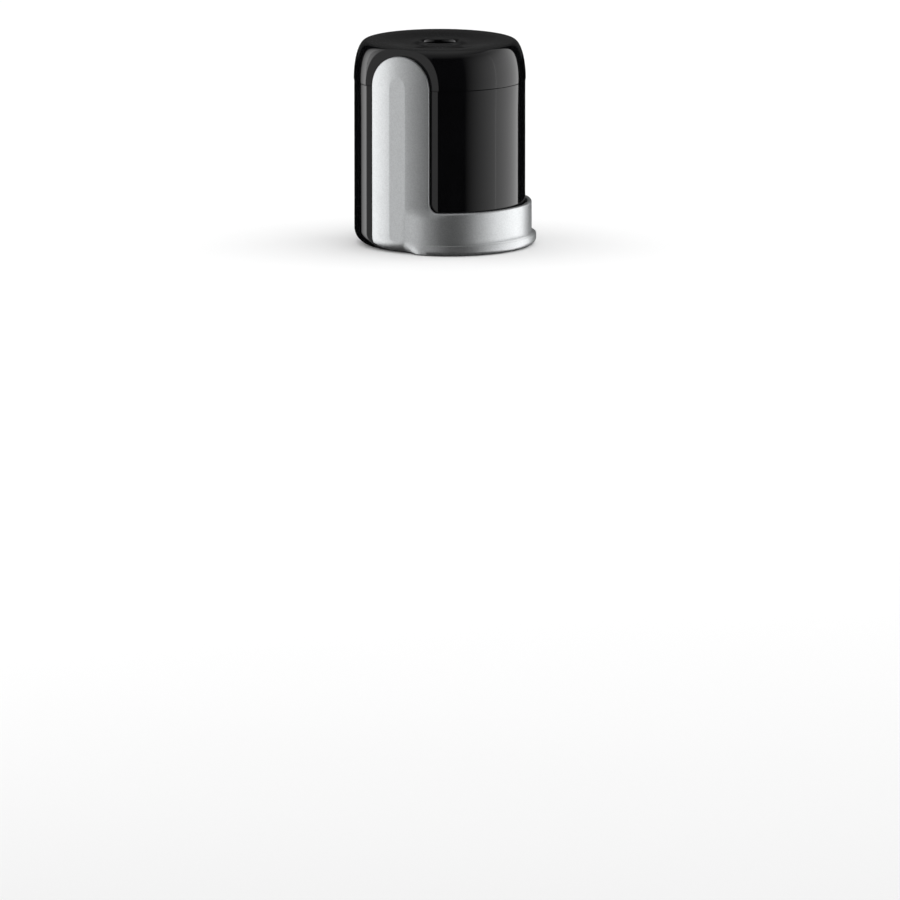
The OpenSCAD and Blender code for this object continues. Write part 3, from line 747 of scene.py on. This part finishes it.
def lever_mesh(body, lever):
    """Points, faces and normals of the lever as one closed skin."""
    form = LeverForm(body, lever)
    outline = form.outline()
    inward = inward_normals(outline)
    count = len(outline)
    arm_edge, ring_edge = lever["arm_edge"], lever["ring_edge"]
    roundings = []
    for s, z, kind in outline:
        thick = form.outside(s, z + 0.3) - form.inside(s)
        wanted = {"foot": 0.4, "arm": arm_edge, "window": (arm_edge + ring_edge) / 2, "ring": ring_edge}[kind]
        roundings.append(min(wanted, thick * 0.5))
    for _ in range(6):
        roundings = [(roundings[i - 1] + 2 * roundings[i] + roundings[(i + 1) % count]) / 4
                     for i in range(count)]
    turns = [math.pi / 2 * k / 5 for k in range(6)]
    shares = [1 - math.cos(t) for t in turns] + [1.5]
    drops = [1 - math.sin(t) for t in turns] + [0]
    leans = [math.sin(t) for t in turns] + [1]

    sheet = []
    for share, drop, lean in zip(shares, drops, leans):
        for i, (s, z, kind) in enumerate(outline):
            spot = Vector((s, z)) + inward[i] * roundings[i] * share
            sheet.append((spot.x, spot.y, roundings[i] * drop, lean, i))
    rim = [Vector(p[:2]) for p in sheet[-count:]]
    inner_points, triangles, hole = fill_sheet(form, rim)
    base = len(sheet) - count
    sheet += [(p.x, p.y, 0, 1, None) for p in inner_points]

    faces = []
    for k in range(len(shares) - 1):
        for i in range(count):
            j = (i + 1) % count
            faces.append((k * count + i, k * count + j, (k + 1) * count + j, (k + 1) * count + i))
    faces += [tuple(base + i for i in t) for t in triangles]
    hole = {base + i for i in hole}

    points, normals = [], []
    for skin in (0, 1):
        for s, z, drop, lean, i in sheet:
            place, normal = skin_point(form, s, z, skin, drop * (1 if skin == 0 else 0.5))
            if i is not None and lean < 1:
                sideways = edge_direction(form, s, z, skin, inward[i])
                normal = normal * lean + sideways * math.sqrt(1 - lean * lean)
            points.append(place)
            normals.append(normal.normalized())
    total = len(sheet)
    skin_faces = list(faces)
    sunk = {}
    for face in faces:
        if all(i in hole for i in face):
            for i in face:
                if i not in sunk:
                    side = 1 if sheet[i][0] > 0 else -1
                    sunk[i] = len(points)
                    points.append(points[total + i] + Vector((side * SOCKET_DEPTH, 0, 0)))
                    normals.append(Vector((-side, 0, 0)))
            skin_faces.append(tuple(sunk[i] for i in reversed(face)))
        else:
            skin_faces.append(tuple(total + i for i in reversed(face)))
    skin_faces += socket_walls(form, sheet, hole, faces, points, normals, total)
    for i in range(count):
        j = (i + 1) % count
        skin_faces.append((j, i, total + i, total + j))
    return points, skin_faces, normals


def socket_walls(form, sheet, hole, faces, points, normals, total):
    """Round walls of the two sockets for the stub shafts."""
    edges = {}
    for face in faces:
        if all(i in hole for i in face):
            for a, b in zip(face, face[1:] + face[:1]):
                edges[(a, b)] = True
    walls = []
    for a, b in edges:
        if (b, a) in edges:
            continue
        corner = []
        for i in (a, b):
            side = 1 if sheet[i][0] > 0 else -1
            top = points[total + i]
            inwards = Vector((0, -top.y, form.hinge_z - top.z)).normalized()
            for depth in (0, SOCKET_DEPTH):
                corner.append(len(points))
                points.append(top + Vector((side * depth, 0, 0)))
                normals.append(inwards)
        walls.append((corner[0], corner[2], corner[3], corner[1]))
    return walls


def skin_point(form, s, z, skin, drop):
    """A point of the outer (0) or inner (1) skin with its normal."""
    def place(station, height):
        if skin == 0:
            return form.point(station, height, form.outside(station, height))
        return form.point(station, height, form.inside(station))
    step = 0.03
    along = place(s + step, z) - place(s - step, z)
    up = place(s, z + step) - place(s, max(z - step, 0))
    normal = along.cross(up)
    if normal.length < 1e-9:
        normal = Vector((1 if s > 0 else -1, 0, 0))
    normal.normalize()
    distance = form.outside(s, z) - drop if skin == 0 else form.inside(s) + drop
    return form.point(s, z, distance), normal if skin == 0 else -normal


def edge_direction(form, s, z, skin, inward):
    """Direction out of the sheet's edge, in space."""
    step = 0.05
    distance = form.inside(s)
    along = form.point(s + step, z, distance) - form.point(s - step, z, distance)
    along.normalize()
    out = -(along * inward.x + Vector((0, 0, 1)) * inward.y)
    return out.normalized()


def fill_sheet(form, rim):
    """Triangles inside the rim, with rows and columns that follow the lip, the facets and the sockets."""
    extra = []
    columns = int(form.rear_station)
    for side in (-1, 1):
        for k in range(0, 171):
            z = 0.4 + k * 0.48
            extra += facet_edges(form, side, z)
    marks = list(extra)
    # Rows close together where the lip runs into the ring, then evenly up the arms
    heights = [0.9, 1.7, 2.4, 2.9, 3.3, 3.46, 3.62, 3.76, 3.87, 3.94, 3.952, 4.048, 4.06, 4.2, 4.5, 5]
    heights += [5.7, 6.4]
    heights += [7.2 + 1.1 * k for k in range(70)]
    for z in heights:
        pitch = 0.8 if z < 6 else 1.1
        steps = int(columns / pitch)
        for k in range(-steps, steps + 1):
            extra.append(Vector((k * pitch, z)))
    circles = []
    for side in (-1, 1):
        centre = Vector((side * form.hinge_station, form.hinge_z))
        circles.append([centre + Vector((math.cos(a), math.sin(a))) * SOCKET_R
                        for a in (2 * math.pi * i / 36 for i in range(36))])
    kept = [p for p in extra if spaced(p, rim, circles, 0.3)]
    cell = 1.5
    near = (-1, 0, 1)
    crowd = {}
    for p in marks:
        crowd.setdefault((round(p.x / cell), round(p.y / cell)), []).append(p)
    final = []
    for p in kept:
        x, y = round(p.x / cell), round(p.y / cell)
        close = [m for dx in near for dy in near for m in crowd.get((x + dx, y + dy), [])]
        if any(0 < (m - p).length < 0.33 for m in close) and p not in close:
            continue
        final.append(p)
    points = list(rim)
    loops = [(i, (i + 1) % len(rim)) for i in range(len(rim))]
    for ring in circles:
        start = len(points)
        points += ring
        loops += [(start + i, start + (i + 1) % len(ring)) for i in range(len(ring))]
    points += final
    out, _, faces, origins, _, _ = delaunay_2d_cdt(points, loops, [list(range(len(rim)))], 1, 1e-5)
    result = list(rim)
    new_of = {}
    for i, p in enumerate(out):
        source = [o for o in origins[i] if o < len(rim)]
        if source:
            new_of[i] = source[0]
        else:
            new_of[i] = len(result)
            result.append(p)
    inside_rim = polygon_test(rim)
    triangles = []
    for f in faces:
        middle = (out[f[0]] + out[f[1]] + out[f[2]]) / 3
        if inside_rim(middle):
            triangles.append(tuple(new_of[i] for i in f))
    hole = set()
    for i, p in enumerate(result):
        centre = Vector((math.copysign(form.hinge_station, p.x), form.hinge_z))
        if (p - centre).length < SOCKET_R + 1e-4:
            hole.add(i)
    return result[len(rim):], triangles, hole


def facet_edges(form, side, z):
    """Points on and beside the facet's two edges at a height."""
    found = []
    for direction in (-1, 1):
        low, high = 0.0, form.arm + 6

        def limit(away):
            station = side * (form.hinge_station + direction * away)
            return form.raw_outside(station, z) - form.facet

        if limit(0) <= 0:
            continue
        for _ in range(26):
            middle = (low + high) / 2
            if limit(middle) > 0:
                low = middle
            else:
                high = middle
        for beside in (-0.55, -0.2, 0, 0.2, 0.55):
            found.append(Vector((side * (form.hinge_station + direction * (low + beside)), z)))
    return found


def polygon_test(polygon):
    """A function that says whether a point lies inside the polygon."""
    edges = [(a, polygon[(i + 1) % len(polygon)]) for i, a in enumerate(polygon)]

    def test(p):
        inside = False
        for a, b in edges:
            if (a.y > p.y) != (b.y > p.y) and p.x < a.x + (p.y - a.y) / (b.y - a.y) * (b.x - a.x):
                inside = not inside
        return inside
    return test


def spaced(p, rim, circles, gap):
    """Whether a point lies inside the rim and keeps clear of it and of the circles."""
    if not spaced.test or spaced.rim is not rim:
        spaced.rim = rim
        spaced.test = polygon_test(rim)
        spaced.cells = {}
        for q in rim + [c for ring in circles for c in ring]:
            spaced.cells.setdefault((round(q.x), round(q.y)), []).append(q)
    if not spaced.test(p):
        return False
    x, y = round(p.x), round(p.y)
    for dx in (-1, 0, 1):
        for dy in (-1, 0, 1):
            for q in spaced.cells.get((x + dx, y + dy), []):
                if (q - p).length < gap:
                    return False
    return True


spaced.test = None
spaced.rim = None


# ---------------------------------------------------------------- operators

class STOPPER_OT_finishes(bpy.types.Operator):
    """Makes the finishes and gives each CAD node the one of its slot"""
    bl_idname = "stopper.finishes"
    bl_label = "Finishes"

    def execute(self, context):
        made = finishes(context.scene.stopper_colours)
        context.scene["finish_of_slot"] = {slot: material.name for slot, material in made.items()}
        for part in frame["record"]["subparts"]:
            node = frame["nodes"][part["node"]]
            node.data.materials.clear()
            node.data.materials.append(made[part["material_slot"]])
        return {"FINISHED"}


class STOPPER_OT_body(bpy.types.Operator):
    """Builds the lower shell and the cap"""
    bl_idname = "stopper.body"
    bl_label = "Shell and cap"

    def execute(self, context):
        sizes = body_settings()
        body_piece("lower_shell", shell_outline(sizes), 0.06)
        body_piece("top_cap", cap_outline(sizes), 0.06, cap_bosses(sizes))
        return {"FINISHED"}


class STOPPER_OT_lever(bpy.types.Operator):
    """Builds the locking lever with its ring and thumb lip"""
    bl_idname = "stopper.lever"
    bl_label = "Lever"

    def execute(self, context):
        group = context.scene.stopper_lever
        lever = {key: getattr(group, key) / MM for key in LeverSizes.__annotations__}
        points, faces, normals = lever_mesh(body_settings(), lever)
        put_mesh("locking_lever", points, faces, slot_finish("satin_silver"), "lever", ["lever"],
                 normals=normals)
        return {"FINISHED"}


class STOPPER_OT_port(bpy.types.Operator):
    """Builds the charging port"""
    bl_idname = "stopper.port"
    bl_label = "Charging port"

    def execute(self, context):
        top = port_high.z / MM
        bottom = port_low.z / MM
        collar = port_high.x / MM
        throat = PORT_THROAT_R
        lip = 1.7
        mound = 0.8
        crest = throat + lip
        corners = [
            (throat, top - lip, 0), (throat, top - 6, 0.2), (6.0, top - 6, 0), (6.0, top - 7.5, 0),
            (2.2, top - 7.5, 0.2), (2.2, top - 10.4, 0), (4.5, top - 10.4, 0), (4.5, bottom + 3.6, 0),
            (5.4, bottom + 3.6, 0), (5.4, bottom, 0.1), (7.2, bottom, 0.1), (7.2, top - 9.9, 0.1),
            (9.0, top - 8.1, 0.1), (9.0, top - mound, 0),
        ]
        outline = rounded(corners)
        for i in range(15):
            r = collar + (crest - collar) * i / 14
            outline.append((r, top - mound * ease(crest, collar, r)))
        outline += arc(crest, top - lip, lip, 90, 180, 10)[1:-1]
        turned("charging_port", outline, slot_finish("black_gloss"), "housing", ["valve_body"],
               segments=160)
        return {"FINISHED"}


class STOPPER_OT_seal(bpy.types.Operator):
    """Builds the rubber plug that closes the bottle's mouth"""
    bl_idname = "stopper.seal"
    bl_label = "Mouth seal"

    def execute(self, context):
        low = seal_low.z / MM
        top = seal_high.z / MM
        flange = top - 4
        wide = seal_high.x / MM
        plug = 8.5
        corners = [(3.52, top, 0.1), (3.52, low, 0.3), (plug - 1.2, low, 0.5), (plug - 0.4, low + 1.6, 0.4)]
        for i in range(3):
            ring = low + 2.6 + 1.9 * i
            corners += [(plug - 0.5, ring - 0.7, 0.2), (plug, ring, 0.3), (plug - 0.5, ring + 0.7, 0.2)]
        corners += [(plug - 0.5, flange, 0.3), (wide, flange, 0.5), (wide, top, 0.5)]
        turned("mouth_plug", rounded(corners), slot_finish("seal_rubber"), "plunger", ["mouth_seal"])
        return {"FINISHED"}


def screw_tree():
    """Node tree that puts a threaded, cross-headed screw at every point of a mesh, along its direction."""
    tree = bpy.data.node_groups.new("screws", "GeometryNodeTree")
    face = tree.interface
    face.new_socket("Places", in_out="INPUT", socket_type="NodeSocketGeometry")
    for name in ("Head radius", "Head height", "Shank radius", "Length", "Thread pitch"):
        face.new_socket(name, in_out="INPUT", socket_type="NodeSocketFloat")
    face.new_socket("Finish", in_out="INPUT", socket_type="NodeSocketMaterial")
    face.new_socket("Screws", in_out="OUTPUT", socket_type="NodeSocketGeometry")
    given = add(tree, "NodeGroupInput").outputs

    def sum_of(kind, a, b):
        return add(tree, "ShaderNodeMath", {0: a, 1: b}, operation=kind).outputs["Value"]

    def moved(mesh, height):
        place = add(tree, "ShaderNodeCombineXYZ", {"Z": height}).outputs["Vector"]
        lifted = add(tree, "GeometryNodeTransform", {"Geometry": mesh, "Translation": place})
        return lifted.outputs["Geometry"]

    def cone(low_radius, high_radius, depth):
        return add(tree, "GeometryNodeMeshCone", {"Vertices": 48, "Radius Bottom": low_radius,
                                                  "Radius Top": high_radius, "Depth": depth}).outputs["Mesh"]

    head_r = given["Head radius"]
    head_h = given["Head height"]
    shank_r = given["Shank radius"]
    rounded_h = sum_of("MULTIPLY", head_h, 0.35)
    straight_h = sum_of("MULTIPLY", head_h, 0.65)
    crown = cone(sum_of("MULTIPLY", head_r, 0.8), head_r, rounded_h)
    skirt = moved(cone(head_r, head_r, straight_h), rounded_h)
    pieces = []
    bars = []
    long_side = sum_of("MULTIPLY", head_r, 1.2)
    short_side = sum_of("MULTIPLY", head_r, 0.28)
    for size in ((long_side, short_side), (short_side, long_side)):
        box = add(tree, "ShaderNodeCombineXYZ", {"X": size[0], "Y": size[1], "Z": head_h})
        bars.append(add(tree, "GeometryNodeMeshCube", {"Size": box.outputs["Vector"]}).outputs["Mesh"])
    solid = add(tree, "GeometryNodeMeshBoolean", operation="UNION")
    cut = add(tree, "GeometryNodeMeshBoolean", {0: solid.outputs["Mesh"]}, operation="DIFFERENCE")
    for part in (crown, skirt):
        tree.links.new(part, solid.inputs["Mesh 2"])
    for bar in bars:
        tree.links.new(bar, cut.inputs["Mesh 2"])
    pieces.append(cut.outputs["Mesh"])
    shank = sum_of("SUBTRACT", given["Length"], head_h)
    core_r = sum_of("MULTIPLY", shank_r, 0.86)
    pieces.append(moved(cone(core_r, sum_of("MULTIPLY", core_r, 0.75), shank), head_h))
    rise = sum_of("MULTIPLY", shank, 0.9)
    turns = sum_of("DIVIDE", rise, given["Thread pitch"])
    helix = add(tree, "GeometryNodeCurveSpiral", {
        "Resolution": 24, "Rotations": turns, "Start Radius": core_r,
        "End Radius": sum_of("MULTIPLY", core_r, 0.8), "Height": rise}).outputs["Curve"]
    crest = add(tree, "GeometryNodeCurvePrimitiveCircle", {
        "Resolution": 5, "Radius": sum_of("MULTIPLY", shank_r, 0.14)}).outputs["Curve"]
    thread = add(tree, "GeometryNodeCurveToMesh", {"Curve": helix, "Profile Curve": crest, "Fill Caps": True})
    pieces.append(moved(thread.outputs["Mesh"], head_h))
    whole = add(tree, "GeometryNodeJoinGeometry")
    for part in pieces:
        tree.links.new(part, whole.inputs["Geometry"])
    direction = add(tree, "GeometryNodeInputNamedAttribute", {"Name": "direction"}, data_type="FLOAT_VECTOR")
    turn = add(tree, "FunctionNodeAlignRotationToVector", {"Vector": direction.outputs["Attribute"]},
               axis="Z")
    placed = add(tree, "GeometryNodeInstanceOnPoints", {
        "Points": given["Places"], "Instance": whole.outputs["Geometry"],
        "Rotation": turn.outputs["Rotation"]})
    real = add(tree, "GeometryNodeRealizeInstances", {"Geometry": placed.outputs["Instances"]})
    coated = add(tree, "GeometryNodeSetMaterial", {"Geometry": real.outputs["Geometry"],
                                                   "Material": given["Finish"]})
    add(tree, "NodeGroupOutput", {"Screws": coated.outputs["Geometry"]})
    return tree


def screw_set(tree, name, node, body, places, head_r, head_h, shank_r, total):
    """One set of screws, at (place, direction) pairs in millimetres, as a plain mesh."""
    seeds = bpy.data.meshes.new(name + "_places")
    seeds.from_pydata([[c * MM for c in place] for place, _ in places], [], [])
    pointing = seeds.attributes.new("direction", "FLOAT_VECTOR", "POINT")
    pointing.data.foreach_set("vector", [c for _, direction in places for c in direction])
    holder = bpy.data.objects.new(name + "_places", seeds)
    bpy.context.scene.collection.objects.link(holder)
    values = {"Head radius": head_r * MM, "Head height": head_h * MM, "Shank radius": shank_r * MM,
              "Length": total * MM, "Thread pitch": 0.9 * MM, "Finish": slot_finish("zinc_screw")}
    modifier = holder.modifiers.new("screws", "NODES")
    modifier.node_group = tree
    for socket in tree.interface.items_tree:
        if socket.in_out == "INPUT" and socket.name in values:
            modifier[socket.identifier] = values[socket.name]
    evaluated = holder.evaluated_get(bpy.context.evaluated_depsgraph_get())
    mesh = bpy.data.meshes.new_from_object(evaluated)
    if not mesh.polygons:
        raise RuntimeError(name + " came out empty")
    mesh.name = name
    holder.modifiers.remove(modifier)
    bpy.data.objects.remove(holder)
    mesh.set_sharp_from_angle(angle=math.radians(30))
    piece = bpy.data.objects.new(name, mesh)
    bpy.context.scene.collection.objects.link(piece)
    return settle(piece, body, [node])


class STOPPER_OT_screws(bpy.types.Operator):
    """Builds the three sets of screws with Geometry Nodes"""
    bl_idname = "stopper.screws"
    bl_label = "Screws"

    def execute(self, context):
        tree = screw_tree()
        up = (0, 0, 1)
        head_r, head_h, shank_r = SCREW_HEAD_R, SCREW_HEAD_H, SCREW_SHANK_R
        column_angle = math.radians(20)
        for name, node, spread in (("base_screw_set", "base_screws", math.tan(column_angle)),
                                   ("cap_screw_set", "cap_screws", 1)):
            low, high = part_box(node)
            across = high.x / MM - head_r
            places = [((x * across, y * across * spread, low.z / MM), up) for x in (-1, 1) for y in (-1, 1)]
            screw_set(tree, name, node, "housing", places, head_r, head_h, shank_r, (high.z - low.z) / MM)
        low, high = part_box("cam_screws")
        total = CAM_SCREW_LENGTH
        middle = (low.z + high.z) / 2 / MM
        start = high.x / MM - total
        places = [((side * start, 0, middle), (side, 0, 0)) for side in (-1, 1)]
        screw_set(tree, "cam_screw_set", "cam_screws", "lever", places, (high.z - low.z) / 2 / MM, 1.4, 1.2,
                  total)
        return {"FINISHED"}


def light_panel(name, width, height, strength):
    """A flat light. The strength function makes the nodes that say how bright it is at each place on it."""
    light = bpy.data.lights.new(name, "AREA")
    light.shape = "RECTANGLE"
    light.size = width
    light.size_y = height
    light.energy = 1
    light.use_nodes = True
    tree = light.node_tree
    tree.nodes.clear()
    place = add(tree, "ShaderNodeNewGeometry").outputs["Parametric"]
    value = strength(tree, place, math.pi * width * height)
    emission = add(tree, "ShaderNodeEmission", {"Strength": value})
    add(tree, "ShaderNodeOutputLight", {"Surface": emission.outputs["Emission"]})
    lamp = bpy.data.objects.new(name, light)
    bpy.context.scene.collection.objects.link(lamp)
    lamp.visible_camera = False
    return lamp


def softbox(name, azimuth, distance, width, low, high, right, left, top=0.25):
    """A standing softbox that faces the object, even from right to left and fading towards its top."""

    def strength(tree, place, full):
        part = add(tree, "ShaderNodeSeparateXYZ", {"Vector": place})
        across = add(tree, "ShaderNodeMapRange", {"Value": part.outputs["X"], "To Min": left * full,
                                                  "To Max": right * full})
        upward = add(tree, "ShaderNodeMapRange", {"Value": part.outputs["Y"], "From Min": 0.46,
                                                  "From Max": 0.95, "To Min": 1.0, "To Max": top},
                     interpolation_type="SMOOTHSTEP")
        both = add(tree, "ShaderNodeMath", {0: across.outputs["Result"], 1: upward.outputs["Result"]},
                   operation="MULTIPLY")
        return both.outputs["Value"]

    lamp = light_panel(name, width, high - low, strength)
    turn = math.radians(azimuth)
    towards = Vector((math.sin(turn), -math.cos(turn), 0))
    lamp.location = towards * distance + Vector((0, 0, (low + high) / 2))
    lamp.rotation_mode = "QUATERNION"
    lamp.rotation_quaternion = towards.to_track_quat("Z", "Y")
    return lamp


def overhead_panel(name, height, size, middle):
    """A level light above the object that fades out towards its edges."""

    def strength(tree, place, full):
        away = add(tree, "ShaderNodeVectorMath", {0: place, 1: (0.5, 0.5, 0)}, operation="DISTANCE")
        fade = add(tree, "ShaderNodeMapRange", {"Value": away.outputs["Value"], "From Min": 0.1,
                                                "From Max": 0.5, "To Min": middle * full, "To Max": 0.0})
        return fade.outputs["Result"]

    lamp = light_panel(name, size, size, strength)
    lamp.location = (0, 0, height)
    return lamp


class STOPPER_OT_studio(bpy.types.Operator):
    """Sets up the floor, the lights and the camera"""
    bl_idname = "stopper.studio"
    bl_label = "Studio"

    def execute(self, context):
        scene = context.scene
        settings = scene.stopper_studio
        self.floor(scene)
        self.world(scene)
        self.lights(math.degrees(settings.azimuth))
        self.camera(scene, settings)
        scene.view_settings.view_transform = "Standard"
        return {"FINISHED"}

    def floor(self, scene):
        mesh = bpy.data.meshes.new("studio_floor")
        rings = [0, 0.2, 1, 4, 12]
        points = [(0, 0, 0)]
        faces = []
        around = 64
        for k, radius in enumerate(rings[1:]):
            for j in range(around):
                turn = 2 * math.pi * j / around
                points.append((radius * math.cos(turn), radius * math.sin(turn), 0))
                n = 1 + k * around
                nxt = (j + 1) % around
                if k == 0:
                    faces.append((0, n + j, n + nxt))
                else:
                    faces.append((n - around + j, n + j, n + nxt, n - around + nxt))
        mesh.from_pydata(points, [], faces)
        mesh.materials.append(studio_floor(scene.stopper_colours))
        floor = bpy.data.objects.new("studio_floor", mesh)
        scene.collection.objects.link(floor)
        floor.visible_glossy = False

    def world(self, scene):
        world = bpy.data.worlds.new("studio_world")
        scene.world = world
        world.use_nodes = True
        tree = world.node_tree
        tree.nodes.clear()
        pale = add(tree, "ShaderNodeBackground", {"Color": (1, 1, 1, 1), "Strength": 0.9})
        dark = add(tree, "ShaderNodeBackground", {"Color": (1, 1, 1, 1), "Strength": 0.004})
        path = add(tree, "ShaderNodeLightPath")
        mixed = add(tree, "ShaderNodeMixShader", {0: path.outputs["Is Glossy Ray"],
                                                  1: pale.outputs["Background"],
                                                  2: dark.outputs["Background"]})
        add(tree, "ShaderNodeOutputWorld", {"Surface": mixed.outputs["Shader"]})

    def lights(self, facing):
        # Name, turn from the camera, distance, width, brightness at its right and at its left
        for name, turn, distance, width, right, left in (
                ("side_strip", -124, 1.19, 0.3, 2.7, 0.6),
                ("side_box", -92, 1.2, 1.09, 1.3, 1.85),
                ("side_fill", -56, 1.25, 0.5, 0.52, 0.72),
                ("dim_fill", -29.5, 1.25, 0.79, 0.1, 0.48),
                ("near_box", 57, 1.2, 1.05, 1.32, 0.0),
                ("main_box", 105, 1.21, 1.12, 2.35, 1.32)):
            softbox(name, facing + turn, distance, width, -1.2, 1.6, right, left)
        softbox("back_box", facing + 180, 1.4, 1.6, 0.0, 1.4, 0.05, 0.05, top=4)
        overhead_panel("overhead", 1.5, 3.6, 0.5)

    def camera(self, scene, settings):
        data = bpy.data.cameras.new("studio_camera")
        data.lens = settings.lens
        data.sensor_width = 36
        data.clip_end = 100
        camera = bpy.data.objects.new("studio_camera", data)
        scene.collection.objects.link(camera)
        scene.camera = camera
        a, e = settings.azimuth, settings.elevation
        back = Vector((math.sin(a) * math.cos(e), -math.cos(a) * math.cos(e), math.sin(e)))
        right = Vector((math.cos(a), math.sin(a), 0))
        middle = Vector((0, 0, (cad_low.z + cad_high.z) / 2))
        camera.location = middle + back * settings.distance
        target = right * settings.aim_right - Vector((0, 0, settings.aim_below))
        camera.rotation_mode = "QUATERNION"
        camera.rotation_quaternion = (target - camera.location).to_track_quat("-Z", "Y")


class STOPPER_PT_panel(bpy.types.Panel):
    """Lists the steps in the 3D view's sidebar"""
    bl_idname = "STOPPER_PT_panel"
    bl_label = "Bottle stopper"
    bl_space_type = "VIEW_3D"
    bl_region_type = "UI"
    bl_category = "Bottle stopper"

    def draw(self, context):
        for operator in OPERATORS:
            self.layout.operator(operator.bl_idname)


GROUPS = {"stopper_body": BodySizes, "stopper_lever": LeverSizes, "stopper_colours": FinishColours,
          "stopper_studio": StudioSettings}
OPERATORS = [STOPPER_OT_finishes, STOPPER_OT_body, STOPPER_OT_lever, STOPPER_OT_port, STOPPER_OT_seal,
             STOPPER_OT_screws, STOPPER_OT_studio]


def register():
    """Registers the settings, the operators and the panel."""
    for name, group in GROUPS.items():
        bpy.utils.register_class(group)
        setattr(bpy.types.Scene, name, PointerProperty(type=group))
    for part in OPERATORS + [STOPPER_PT_panel]:
        bpy.utils.register_class(part)


def unregister():
    """Takes them off again."""
    for part in reversed(OPERATORS + [STOPPER_PT_panel]):
        bpy.utils.unregister_class(part)
    for name, group in GROUPS.items():
        delattr(bpy.types.Scene, name)
        bpy.utils.unregister_class(group)


def main():
    register()
    bpy.ops.stopper.finishes()
    bpy.ops.stopper.body()
    bpy.ops.stopper.lever()
    bpy.ops.stopper.port()
    bpy.ops.stopper.seal()
    bpy.ops.stopper.screws()
    bpy.ops.stopper.studio()


if __name__ == "__main__":
    main()
